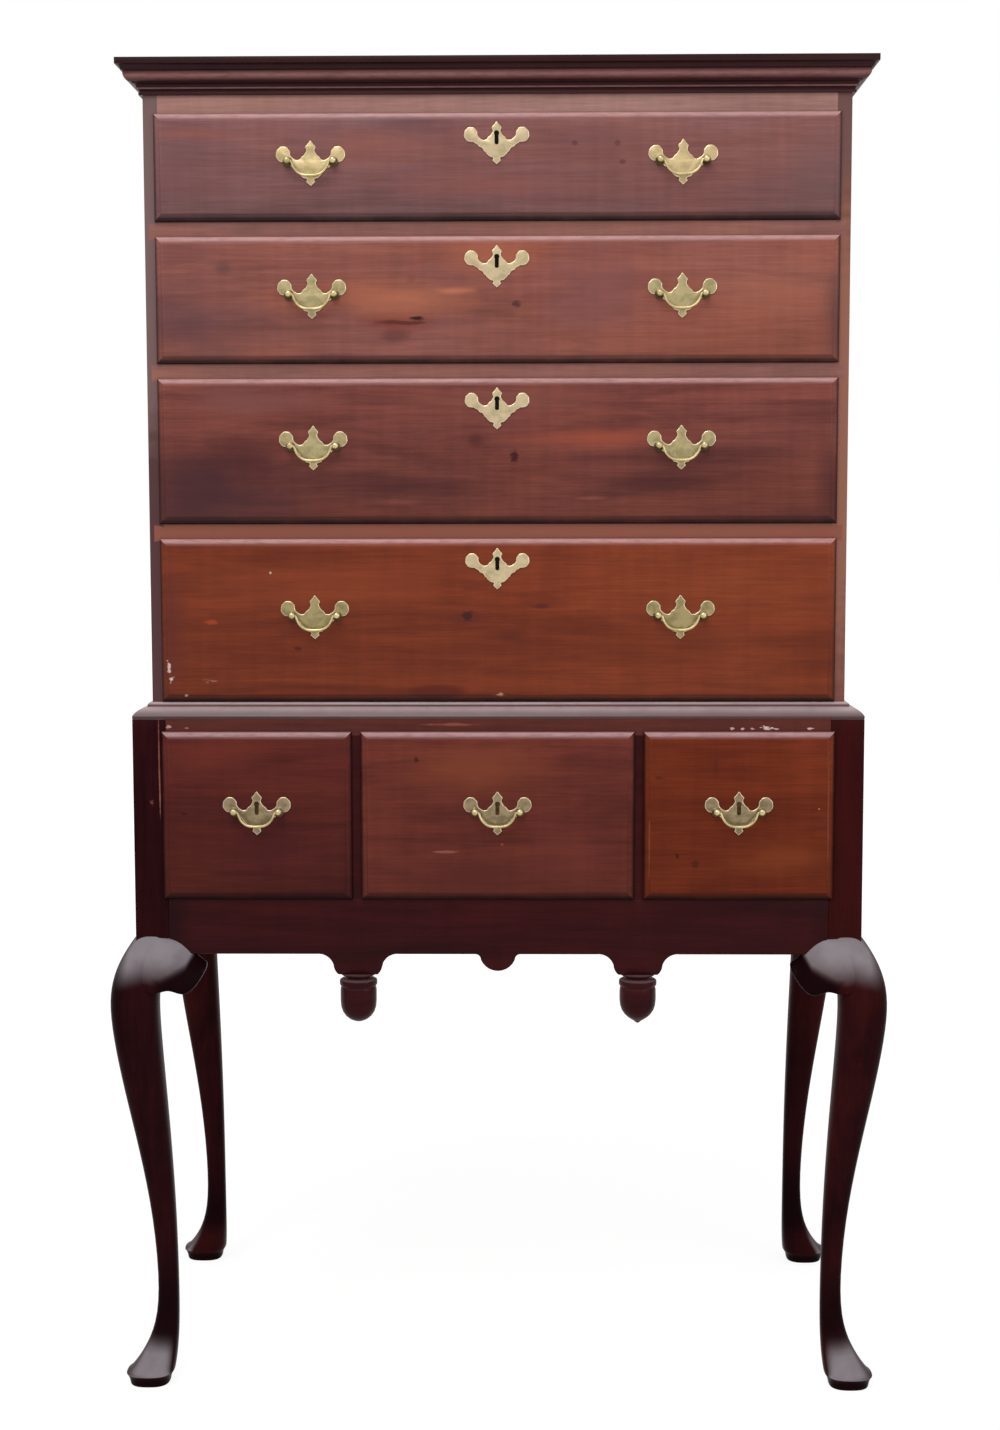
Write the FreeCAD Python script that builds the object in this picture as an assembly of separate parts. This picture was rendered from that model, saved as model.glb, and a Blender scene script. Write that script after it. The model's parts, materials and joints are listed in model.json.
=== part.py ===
import FreeCAD, Part
import math
import os
from FreeCAD import Vector

# Queen Anne flat-top highboy: an upper case of full-width drawers on a base with cabriole legs.
# Millimetres. X runs across the front, Y from front to back, Z up.
# The origin lies on the floor under the middle of the base.

# ---------------------------------------------------------------- sizes: base
base_width = 978.0
base_depth = 520.0
leg_height = 624.0            # floor to the top of the knees
post = 45.0                   # square stock that each leg is cut from
board = 20.0                  # sides, back and skirt of the base
skirt_height = 75.0
skirt_overhang = 24.0         # how far the skirt hangs below the knee tops
base_opening_height = 222.0
top_rail_height = 22.0
top_rail_depth = 60.0
partition_thickness = 22.0
partition_depth = 45.0
centre_opening = 356.0        # width of the middle drawer's opening
base_back_height = 280.0

# sizes: cabriole legs, measured from the faces of the post
knee_projection = 36.0        # how far the knee swells out of the post
knee_height = 540.0           # level of the fullest part of the knee
knee_thickness = 66.0
knee_roundness = 0.6          # corner radius as a share of the section's half width
foot_roundness = 0.96
ankle_height = 115.0
ankle_thickness = 26.0
ankle_inset = 20.0
pad_height = 12.0             # thickness of the disc under the foot
pad_reach = 24.0              # how far the foot stands out beyond the post
pad_diameter = 65.0
pad_taper = 6.0               # the underside of the disc is this much smaller all round

# sizes: skirt outline, knee brackets and turned drops
drop_half_width = 27.0
drop_depth = 28.0
drop_cove_width = 22.0
drop_cove_depth = 17.0
lobe_radius = 24.0
bracket_reach = 52.0
bracket_shoulder = 22.0
bracket_lobe_radius = 14.0
bracket_lobe_drop = 55.0      # lobe bottom below the skirt edge
collar_radius = 26.6
collar_height = 15.0
acorn_radius = 24.6
acorn_height = 51.0
drop_pin_radius = 6.0
drop_pin_length = 24.0

# sizes: upper case
setback = 24.0                # the upper case is this much smaller at the front and sides
upper_side = 19.0
upper_back = 14.0
back_rabbet = 10.0
back_board_count = 4
back_board_gap = 1.0
bottom_board = 21.0
top_board = 19.0
frieze_height = 53.7
frieze_thickness = 22.0
divider_thickness = 24.0
divider_depth = 70.0
top_opening_height = 135.0
opening_step = 26.3           # each opening is this much higher than the one above
upper_drawer_count = 4
runner_width = 25.0

# sizes: mouldings
cornice_projection = 31.0
cornice_height = 44.0
cornice_fillet = 4.0

# sizes: base drawer runners and guides
base_runner_width = 34.0
base_runner_height = 18.0
guide_height = 26.0

# sizes: drawers
lip_cover = 5.5               # the lip overlaps the case by this much
lip_thickness = 8.0
lip_step = 1.3                # the field stands this far above the rounded edge
lip_border = 8.0
lip_round = 5.5
front_body = 14.0             # part of the front behind the case's face
seat_gap = 0.3                # behind the lips and under the drawers
side_gap = 1.5
top_gap = 2.0
drawer_side = 11.0
drawer_back = 11.0
side_drop = 8.0               # drawer sides are this much lower than the opening
back_drop = 5.0               # and the back is this much lower than the sides
drawer_end_gap = 8.0          # behind the closed drawer
groove_depth = 5.0
groove_lift = 9.0
bottom_edge = 5.0             # thickness of the bottom in its groove
bottom_belly = 4.0            # and how much thicker it is in the middle
bottom_bevel = 40.0
bottom_play = 0.3

# sizes: dovetails and tenons
tail_pitch = 70.0
tail_share = 0.62             # share of the pitch that a tail takes at its tip
tail_slope = 0.16
case_tail_pitch = 110.0
front_lap = 10.0
divider_tail = 13.0
tenon_thickness = 8.0
tenon_length = 18.0
tenon_shoulder = 12.0
side_tenon_count = 2

# sizes: brasses
plate_half_width = 46.0
plate_thickness = 2.0
post_spacing = 60.0
pull_spacing = 488.0          # between the two pulls of an upper drawer
pull_rise = 7.0               # pulls sit this far above the middle of a drawer
post_standoff = 8.5           # bail axis in front of the plate
post_head_radius = 4.6        # corner radius of the six-sided head
post_neck_radius = 3.2
post_shank_half = 2.2         # half the width of the square shank
post_clearance = 0.2
nut_half = 6.0
nut_thickness = 3.0
shank_end = 1.5               # thread past the nut
bail_radius = 1.9
bail_drop = 24.0              # bail axis to the underside of the hanging bow
bail_arm_drop = 5.0           # straight part of the arm below the axis
bail_bend_half = 19.0         # half the bow's width at its upper bends
bail_bend_drop = 15.0         # upper bends below the axis
bail_flat_half = 10.0         # half the level run at the bottom
bail_post_gap = 0.5           # between the post's head and the bail's arm
bail_pin_length = 3.4         # length of the bail's end inside the post
bail_clearance = 0.3
keyhole_radius = 3.3
keyhole_slot = 4.8
keyhole_height = 17.0
keyhole_rise = 4.6            # middle of the keyhole above the middle of the plate
escutcheon_drop = 38.0        # middle of the escutcheon below the drawer's top edge

# sizes: locks
lock_width = 60.0
lock_height = 46.0
lock_thickness = 11.0
bolt_width = 30.0
bolt_thickness = 5.0
bolt_height = 24.0
bolt_throw = 8.0
bolt_clearance = 0.4

# ---------------------------------------------------------------- places worked out from the sizes
half_width = base_width / 2
front = -base_depth / 2
back = base_depth / 2
post_inside = half_width - post
skirt_edge = leg_height - skirt_overhang
base_floor = skirt_edge + skirt_height
base_ceiling = base_floor + base_opening_height
base_top = base_ceiling + top_rail_height
partition_place = (centre_opening + partition_thickness) / 2

upper_half = half_width - setback
upper_inside = upper_half - upper_side
upper_front = front + setback
upper_rear = back - upper_back
opening_heights = [top_opening_height + opening_step * row for row in range(upper_drawer_count)]
upper_floor = base_top + bottom_board
frieze_bottom = upper_floor + sum(opening_heights) + divider_thickness * (upper_drawer_count - 1)
case_top = frieze_bottom + frieze_height
height = case_top + top_board


# ---------------------------------------------------------------- helpers
def box(x0, x1, y0, y1, z0, z1):
    """Board between two corners."""
    return Part.makeBox(x1 - x0, y1 - y0, z1 - z0, Vector(x0, y0, z0))


def across(x):
    """Places outline points (y, z) on the plane at x."""
    return lambda y, z: Vector(x, y, z)


def upright(y):
    """Places outline points (x, z) on the plane at y."""
    return lambda x, z: Vector(x, y, z)


def flat(z):
    """Places outline points (x, y) on the plane at z."""
    return lambda x, y: Vector(x, y, z)


def outline(points, place):
    """Closed wire. A point is (a, b), or (a, b, rise) where an arc with that rise leads to it."""
    edges = []
    previous = points[-1]
    for point in points:
        start = place(previous[0], previous[1])
        end = place(point[0], point[1])
        if len(point) == 3:
            run = Vector(point[0] - previous[0], point[1] - previous[1], 0)
            left = Vector(-run.y, run.x, 0).normalize() * point[2]
            middle = place((previous[0] + point[0]) / 2 + left.x, (previous[1] + point[1]) / 2 + left.y)
            edges.append(Part.Arc(start, middle, end).toShape())
        else:
            edges.append(Part.makeLine(start, end))
        previous = point
    return Part.Wire(edges)


def prism(points, place, push):
    """Solid made by pushing a closed outline along a vector."""
    return Part.Face(outline(points, place)).extrude(push)


def turning(points, centre, axis_place):
    """Solid of revolution: points are (radius, distance along the axis)."""
    face = Part.Face(outline(points, axis_place))
    direction = axis_place(0, 1) - axis_place(0, 0)
    return face.revolve(centre, direction, 360)


def flip_x(shape):
    return shape.mirror(Vector(0, 0, 0), Vector(1, 0, 0))


def flip_y(shape):
    return shape.mirror(Vector(0, 0, 0), Vector(0, 1, 0))


def joined(shapes):
    """One solid from touching or overlapping shapes."""
    return shapes[0].fuse(shapes[1:]).removeSplitter()


def edges_at(shape, y):
    """Edges that lie in the plane at y."""
    return [edge for edge in shape.Edges if all(abs(vertex.Y - y) < 1e-6 for vertex in edge.Vertexes)]


def without(shape, cutters):
    return shape.cut(cutters) if cutters else shape


def tails(low, high, depth, pitch, place, push):
    """Row of dovetail tails between low and high, narrow at the shoulder and wide at their tips."""
    count = max(2, round((high - low) / pitch))
    step = (high - low) / count
    tip = step * tail_share / 2
    root = tip - depth * tail_slope
    row = []
    for index in range(count):
        middle = low + step * (index + 0.5)
        points = [(middle - root, 0), (middle + root, 0), (middle + tip, depth), (middle - tip, depth)]
        row.append(prism(points, place, push))
    return row


def moulding(profile, half, face_y, rear_y, level, top, reach):
    """Mitred moulding round the front and sides: profile points are (projection, height)."""
    front_run = prism(profile, lambda p, z: Vector(-half - reach, face_y - p, level + z),
                      Vector(2 * (half + reach), 0, 0))
    side_run = prism(profile, lambda p, z: Vector(half + p, face_y - reach, level + z),
                     Vector(0, rear_y - face_y + reach, 0))
    front_plan = [(-half, face_y), (-half - reach, face_y - reach), (half + reach, face_y - reach), (half, face_y)]
    side_plan = [(half, face_y), (half + reach, face_y - reach), (half + reach, rear_y), (half, rear_y)]
    tall = Vector(0, 0, top - level)
    front_piece = front_run.common(prism(front_plan, flat(level), tall))
    side_piece = side_run.common(prism(side_plan, flat(level), tall))
    return [front_piece, side_piece, flip_x(side_piece)]


# ---------------------------------------------------------------- cabriole legs
def swell(share):
    """Smooth change from 1 to 0 as share goes from 0 to 1."""
    return (1 + math.cos(math.pi * share)) / 2


def leg_section(z, outer, inner, roundness):
    """Square section with faceted round corners, outer beyond and inner within the post's faces."""
    radius = (outer + inner) / 2
    shift = (inner - outer) / 2
    corner = radius * roundness
    points = []
    for quarter in range(4):
        centre_angle = math.radians(45 + 90 * quarter)
        x = -half_width + shift + math.sqrt(2) * (radius - corner) * math.cos(centre_angle)
        y = front + shift + math.sqrt(2) * (radius - corner) * math.sin(centre_angle)
        for turn in (-45, 0, 45):
            angle = centre_angle + math.radians(turn)
            points.append((x + corner * math.cos(angle), y + corner * math.sin(angle)))
    return outline(points, flat(z))


def leg_stations():
    """(height, outer, inner, roundness) of the leg's sections from the knee down to the foot."""
    stations = [(leg_height + 6, -4.0, post - 3, knee_roundness)]
    knee_inner = knee_thickness - knee_projection
    for share in (0.08, 0.3, 0.6, 1.0):
        z = leg_height - (leg_height - knee_height) * share
        outer = knee_projection * math.sin(math.pi / 2 * share) ** 0.85
        inner = knee_inner + (post - 3 - knee_inner) * swell(share)
        stations.append((z, outer, inner, knee_roundness))
    ankle_inner = ankle_thickness + ankle_inset
    for share in (0.12, 0.3, 0.5, 0.74, 1.0):
        z = knee_height - (knee_height - ankle_height) * share
        outer = -ankle_inset + (knee_projection + ankle_inset) * swell(share ** 0.85)
        inner = ankle_inner + (knee_inner - ankle_inner) * swell(share ** 0.7)
        stations.append((z, outer, inner, foot_roundness + (knee_roundness - foot_roundness) * swell(share)))
    pad_inner = pad_diameter - pad_reach
    for share in (0.5, 0.8, 1.0):
        z = ankle_height - (ankle_height - pad_height) * share
        outer = -ankle_inset + (pad_reach + ankle_inset) * share ** 2.3
        inner = ankle_inner + (pad_inner - ankle_inner) * share ** 4
        stations.append((z, outer, inner, foot_roundness))
    for z, taper in ((pad_height / 2, 0.0), (0.0, pad_taper)):
        stations.append((z, pad_reach - taper, pad_inner - taper, foot_roundness))
    return stations


def leg():
    """Front left leg with its corner post, in one piece."""
    sections = [leg_section(*station) for station in leg_stations()]
    curved = Part.makeLoft(sections, True, True)
    square = box(-half_width, -post_inside, front, front + post, skirt_edge, base_top)
    return square.fuse(curved)


# ---------------------------------------------------------------- base
def stub_tenons(low, high, count, make):
    """Tenons along the end of a board, with a shoulder between them."""
    step = (high - low - tenon_shoulder) / count
    return [make(low + tenon_shoulder + step * index, low + step * (index + 1)) for index in range(count)]


def skirt_outline():
    """Front view of the skirt: coved drops for the turnings and a round lobe in the middle."""
    cove = (drop_cove_width ** 2 + drop_cove_depth ** 2) ** 0.5 * 0.19
    points = [(-post_inside, base_floor), (-post_inside, skirt_edge)]
    for place in (-partition_place, partition_place):
        outer = drop_half_width + drop_cove_width
        waist = drop_half_width + 3
        if place > 0:
            points += [(-lobe_radius, skirt_edge), (lobe_radius, skirt_edge, -lobe_radius)]
        points += [(place - outer, skirt_edge),
                   (place - waist, skirt_edge - drop_cove_depth, cove),
                   (place - drop_half_width, skirt_edge - drop_depth),
                   (place + drop_half_width, skirt_edge - drop_depth),
                   (place + waist, skirt_edge - drop_cove_depth),
                   (place + outer, skirt_edge, cove)]
    return points + [(post_inside, skirt_edge), (post_inside, base_floor)]


def end_tenons(low, high, depth_middle):
    """Tenons at the left and right ends of a board across the base."""
    y0 = depth_middle - tenon_thickness / 2
    y1 = depth_middle + tenon_thickness / 2
    right = stub_tenons(low, high, 1,
                        lambda z0, z1: box(post_inside, post_inside + tenon_length, y0, y1, z0, z1))
    return right + [flip_x(shape) for shape in right]


def skirt_board():
    plain = prism(skirt_outline(), upright(front), Vector(0, board, 0))
    skirt = joined([plain] + end_tenons(skirt_edge, base_floor, front + board / 2))
    return without(skirt, drop_pins(0) + partition_tenons())


def base_back_board():
    low = base_top - base_back_height
    plain = box(-post_inside, post_inside, back - board, back, low, base_top)
    return joined([plain] + end_tenons(low, base_top, back - board / 2))


def base_side():
    """Right side, between the posts."""
    plain = box(half_width - board, half_width, front + post, back - post, skirt_edge, base_top)
    x0 = half_width - board / 2 - tenon_thickness / 2
    x1 = x0 + tenon_thickness
    near = stub_tenons(skirt_edge, base_top, side_tenon_count,
                       lambda z0, z1: box(x0, x1, front + post - tenon_length, front + post, z0, z1))
    return joined([plain] + near + [flip_y(shape) for shape in near])


def base_top_rail():
    """Flat rail under the upper case, dovetailed down into the posts."""
    plain = box(-post_inside, post_inside, front, front + top_rail_depth, base_ceiling, base_top)
    tail = [(post_inside, front + 12), (post_inside + tenon_length, front + 9),
            (post_inside + tenon_length, front + post - 9), (post_inside, front + post - 12)]
    right = prism(tail, flat(base_ceiling), Vector(0, 0, top_rail_height))
    return without(joined([plain, right, flip_x(right)]), partition_tenons())


def partition_tenons():
    """Stub tenons of both partitions, up into the top rail and down into the skirt."""
    stub = tenon_shoulder / 2
    tenons = []
    for place in (-partition_place, partition_place):
        for z0, z1 in ((base_floor - stub, base_floor), (base_ceiling, base_ceiling + stub)):
            tenons.append(box(place - tenon_thickness / 2, place + tenon_thickness / 2,
                              front + board / 4, front + board * 3 / 4, z0, z1))
    return tenons


def base_partitions():
    """Upright dividers between the three base drawers."""
    tenons = partition_tenons()
    pieces = []
    for index, place in enumerate((-partition_place, partition_place)):
        plain = box(place - partition_thickness / 2, place + partition_thickness / 2,
                    front, front + partition_depth, base_floor, base_ceiling)
        pieces.append(joined([plain] + tenons[2 * index:2 * index + 2]))
    return pieces


def base_runners():
    """Two runners inside the posts and two wide ones behind the partitions."""
    y0 = front + board
    y1 = back - board
    z0 = base_floor - base_runner_height
    half_wide = partition_thickness / 2 + base_runner_width
    outer = box(post_inside - base_runner_width, post_inside, y0, y1, z0, base_floor)
    inner = box(partition_place - half_wide, partition_place + half_wide, y0, y1, z0, base_floor)
    return [outer, flip_x(outer), inner, flip_x(inner)]


def base_guides():
    """Strips beside the drawers: on the sides between the posts, and on the wide runners."""
    outer = box(post_inside, half_width - board, front + post, back - post,
                base_floor - base_runner_height, base_floor + guide_height)
    inner = box(partition_place - partition_thickness / 2, partition_place + partition_thickness / 2,
                front + partition_depth, back - board, base_floor, base_floor + guide_height)
    return [outer, flip_x(outer), inner, flip_x(inner)]


# ---------------------------------------------------------------- knee brackets and turned drops
def bracket_blank():
    """Front left bracket before it is fitted to the leg and skirt."""
    start = -post_inside - 12
    corner = -post_inside
    low = skirt_edge - bracket_lobe_drop
    lobe = bracket_lobe_radius
    face = [(start, leg_height), (start, low + lobe), (corner - 4, low + lobe),
            (corner + 2 * lobe - 4, low + lobe, -lobe),
            (corner + bracket_reach, skirt_edge, 8.0),
            (corner + bracket_shoulder, leg_height)]
    front_view = prism(face, upright(front - 2 * knee_projection), Vector(0, 2 * knee_projection + board, 0))
    knee_side = side_slice(start, 0.92)
    far_side = side_slice(corner + bracket_reach + 2, 0.12)
    return front_view.common(Part.makeLoft([knee_side, far_side], True, True))


def side_slice(x, share):
    """Side view of the bracket at x: the knee's curve, with a share of its full projection."""
    bulge = knee_projection * share
    low = skirt_edge - bracket_lobe_drop - 2
    rear = front + board
    points = [(rear, low), (rear, leg_height), (front - 0.5, leg_height),
              (front - bulge, knee_height + 15),
              (front - bulge, low)]
    return outline(points, across(x))


def knee_brackets():
    """Two brackets under the skirt and four under the sides, each fitted to its leg."""
    corner_leg = leg()
    under_skirt = bracket_blank().cut([corner_leg, skirt_board()])
    under_skirt = biggest(under_skirt)
    under_side = under_skirt.mirror(Vector(-half_width, front, 0), Vector(1, -1, 0).normalize())
    return [under_skirt, flip_x(under_skirt), under_side, flip_x(under_side),
            flip_y(under_side), flip_x(flip_y(under_side))]


def biggest(shape):
    return max(shape.Solids, key=lambda solid: solid.Volume)


def drop_pins(clearance):
    """Round pins that hold the turned drops in the skirt."""
    base = skirt_edge - drop_depth
    return [Part.makeCylinder(drop_pin_radius + clearance, drop_pin_length, Vector(place, front + board / 2, base))
            for place in (-partition_place, partition_place)]


def skirt_drops():
    """Turned acorns under the skirt: a blunt one on the left and a pointed one on the right."""
    top = skirt_edge - drop_depth
    neck = top - collar_height
    tip = neck - acorn_height
    pins = drop_pins(0)
    blunt = [(acorn_radius * 0.97, neck - acorn_height * 0.5), (acorn_radius * 0.72, neck - acorn_height * 0.82),
             (acorn_radius * 0.3, tip), (0, tip)]
    pointed = [(acorn_radius * 0.92, neck - acorn_height * 0.5), (acorn_radius * 0.6, neck - acorn_height * 0.82),
               (acorn_radius * 0.2, tip), (0, tip - 2)]
    drops = []
    for place, end, pin in zip((-partition_place, partition_place), (blunt, pointed), pins):
        centre = Vector(place, front + board / 2, 0)
        points = [(0, top), (drop_half_width * 0.75, top), (collar_radius, top - collar_height * 0.5),
                  (acorn_radius * 0.9, neck), (acorn_radius, neck - 8)] + end
        drops.append(turning(points, centre, lambda r, z: centre + Vector(r, 0, z)).fuse(pin))
    return drops


# ---------------------------------------------------------------- upper case
def divider_levels():
    """Undersides of the drawer dividers, from the top one down."""
    levels = []
    level = frieze_bottom
    for opening in opening_heights[:-1]:
        level -= opening + divider_thickness
        levels.append(level)
    return levels


def opening_floors():
    """Floors of the upper drawer openings, from the top one down."""
    return [level + divider_thickness for level in divider_levels()] + [upper_floor]


def divider_ends(level):
    """Dovetailed ends of one divider, which show in the front edges of the sides."""
    middle = level + divider_thickness / 2
    tip = divider_thickness / 2 - 1
    root = tip - divider_tail * tail_slope
    points = [(upper_inside, middle - root), (upper_inside + divider_tail, middle - tip),
              (upper_inside + divider_tail, middle + tip), (upper_inside, middle + root)]
    right = prism(points, upright(upper_front), Vector(0, divider_depth, 0))
    return [right, flip_x(right)]


def bolt_mortise(level):
    """Slot above a lock bolt, in the underside of the rail at that level."""
    middle = bolt_middle()
    half = bolt_width / 2 + 2 * bolt_clearance
    deep = bolt_thickness / 2 + 2 * bolt_clearance
    return box(-half, half, middle - deep, middle + deep, level, level + bolt_throw)


def bolt_middle():
    return upper_front + front_body - lock_thickness / 2


def drawer_dividers():
    pieces = []
    for level in divider_levels():
        plain = box(-upper_inside, upper_inside, upper_front, upper_front + divider_depth,
                    level, level + divider_thickness)
        pieces.append(joined([plain] + divider_ends(level)).cut(bolt_mortise(level)))
    return pieces


def frieze_rail():
    plain = box(-upper_inside, upper_inside, upper_front, upper_front + frieze_thickness, frieze_bottom, case_top)
    return plain.cut(bolt_mortise(frieze_bottom))


def case_tails(z, thickness):
    """Tails on both ends of the top or bottom board, through the sides."""
    push = Vector(0, 0, thickness)
    right = tails(upper_front, upper_rear, upper_side, case_tail_pitch,
                  lambda along, out: Vector(upper_inside + out, along, z), push)
    return right + [flip_x(shape) for shape in right]


def case_board(z, thickness):
    plain = box(-upper_inside, upper_inside, upper_front, upper_rear, z, z + thickness)
    return joined([plain] + case_tails(z, thickness))


def upper_case_side():
    """Right side with its dovetail sockets and the rabbet for the back boards."""
    plain = box(upper_inside, upper_half, upper_front, back, base_top, height)
    cutters = [box(upper_inside - 1, upper_inside + back_rabbet, upper_rear, back + 1, base_top - 1, height + 1)]
    cutters += case_tails(case_top, top_board) + case_tails(base_top, bottom_board)
    for level in divider_levels():
        cutters += divider_ends(level)
    return without(plain, cutters)


def upper_runners():
    """Runners behind the dividers, and kickers at the same places over the top drawer."""
    pieces = []
    for level in [frieze_bottom] + divider_levels():
        start = upper_front + (frieze_thickness if level == frieze_bottom else divider_depth)
        piece = box(upper_inside - runner_width, upper_inside, start, upper_rear, level, level + divider_thickness)
        pieces += [piece, flip_x(piece)]
    return pieces


def upper_back_boards():
    """Horizontal boards in the rabbets of the sides."""
    half = upper_inside + back_rabbet
    pitch = (height - base_top + back_board_gap) / back_board_count
    pieces = []
    for index in range(back_board_count):
        low = base_top + pitch * index
        pieces.append(box(-half, half, upper_rear, back, low, low + pitch - back_board_gap))
    return pieces


def cornice():
    """Top fillet, cove, bead, cove and bottom fillet, from the top down."""
    deep = cornice_height
    out = cornice_projection
    profile = [(0, 0), (0, deep), (out, deep), (out, deep - cornice_fillet),
               (out * 0.71, deep * 0.73, -2.4), (out * 0.71, deep * 0.69), (out * 0.62, deep * 0.67),
               (out * 0.49, deep * 0.43, 2.8), (out * 0.40, deep * 0.43), (out * 0.40, deep * 0.39),
               (out * 0.14, deep * 0.17, -2.4), (out * 0.14, 0)]
    return moulding(profile, upper_half, upper_front, back, height - deep, height, out)


def waist_moulding():
    """Small bead over a long rounded slope that ends flush with the base."""
    tall = bottom_board
    out = setback
    profile = [(0, 0), (0, tall), (out * 0.08, tall), (out * 0.26, tall * 0.76, 1.3),
               (out * 0.26, tall * 0.70), (out, tall * 0.16, 2.6), (out, 0)]
    return moulding(profile, upper_half, upper_front, back, base_top, base_top + tall, out)


# ---------------------------------------------------------------- brasses
def plate_outline():
    """Batwing outline, clockwise from the top finial: right half, then the same mirrored."""
    w = plate_half_width / 46.0
    right = [(5.6 * w, 21.5 * w), (4.4 * w, 19.0 * w), (16.5 * w, 4.5 * w), (29.0 * w, 12.5 * w),
             (36.0 * w, 20.5 * w), (43.0 * w, 17.5 * w), (41.0 * w, 0.5 * w, 3.4),
             (18.5 * w, -9.0 * w), (15.0 * w, -17.0 * w), (6.5 * w, -19.5 * w), (0, -30.0 * w)]
    left = []
    ends = [(0, 30.5 * w)] + right
    for index in range(len(right) - 1, -1, -1):
        end = ends[index]
        rise = right[index][2:]
        left.append((-end[0], end[1]) + rise)
    return right + left


def plate(x, z, face_y, keyhole):
    """Backplate whose back lies on face_y."""
    shape = prism(plate_outline(), lambda a, b: Vector(x + a, face_y, z + b), Vector(0, -plate_thickness, 0))
    if keyhole:
        shape = shape.cut(keyhole_cutter(x, z + keyhole_rise, face_y + 1, -plate_thickness - 2))
    return shape


def keyhole_cutter(x, z, y, push):
    """Keyhole: a round top with a slot below it."""
    half = keyhole_slot / 2
    top = keyhole_height / 2 - keyhole_radius
    root = (keyhole_radius ** 2 - half ** 2) ** 0.5
    low = z - keyhole_height / 2
    points = [(x - half, low), (x - half, z + top - root), (x + half, z + top - root, keyhole_radius + root),
              (x + half, low)]
    return prism(points, upright(y), Vector(0, push, 0))


def post_places(x):
    return (x - post_spacing / 2, x + post_spacing / 2)


def faceted(x, z, stations):
    """Six-sided solid along Y: stations are (radius, place along Y)."""
    corners = [math.radians(60 * step) for step in range(6)]
    rings = []
    for radius, y in stations:
        rings.append([Vector(x + radius * math.cos(angle), y, z + radius * math.sin(angle)) for angle in corners])
    faces = [Part.Face(Part.makePolygon(ring + ring[:1])) for ring in (rings[0], rings[-1])]
    for near, far in zip(rings, rings[1:]):
        for index in range(6):
            side = [near[index - 1], near[index], far[index], far[index - 1], near[index - 1]]
            faces.append(Part.Face(Part.makePolygon(side)))
    solid = Part.makeSolid(Part.makeShell(faces))
    return solid if solid.Volume > 0 else solid.reversed()


def pull_post(x, z, face_y, rear_y, inward):
    """Post with a head drilled for the bail; its square shank goes through the front to the nut."""
    plate_face = face_y - plate_thickness
    axis_y = plate_face - post_standoff
    head = post_head_radius
    turned = faceted(x, z, [(head * 0.5, axis_y - head), (head, axis_y - head * 0.3),
                            (head, axis_y + head * 0.6), (post_neck_radius, plate_face)])
    shank = shank_blank(x, z, plate_face, rear_y + nut_thickness + shank_end, 0)
    ends = sorted([x + inward * (head + 1), x + inward * (head - bail_pin_length - bail_clearance)])
    reach = bail_radius + bail_clearance
    hole = box(ends[0], ends[1], axis_y - reach, axis_y + reach, z - reach, z + reach)
    return turned.fuse(shank).cut(hole)


def pull_nut(x, z, rear_y):
    outer = box(x - nut_half, x + nut_half, rear_y, rear_y + nut_thickness, z - nut_half, z + nut_half)
    return outer.cut(shank_blank(x, z, rear_y - 1, rear_y + nut_thickness + 1, post_clearance))


def shank_blank(x, z, y0, y1, clearance):
    """Square shank, or the hole for it."""
    half = post_shank_half + clearance
    return box(x - half, x + half, y0, y1, z - half, z + half)


def bail(x, z, face_y):
    """Swinging bow: pins in the posts, short arms, sloping sides and a level run at the bottom."""
    axis_y = face_y - plate_thickness - post_standoff
    end = post_spacing / 2 - post_head_radius + bail_pin_length
    arm = post_spacing / 2 - post_head_radius - bail_post_gap - bail_radius
    half = [(end, 0), (arm, 0), (arm, -bail_arm_drop), (bail_bend_half, -bail_bend_drop),
            (bail_flat_half, bail_radius - bail_drop)]
    run = [(-a, b) for a, b in half] + half[::-1]
    path = Part.makePolygon([Vector(x + a, axis_y, z + b) for a, b in run])
    corners = [math.radians(60 * step) for step in range(6)]
    ring = [Vector(x - end, axis_y + bail_radius * math.sin(angle), z + bail_radius * math.cos(angle))
            for angle in corners]
    return path.makePipeShell([Part.makePolygon(ring + ring[:1])], True, False, 1)


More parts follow.
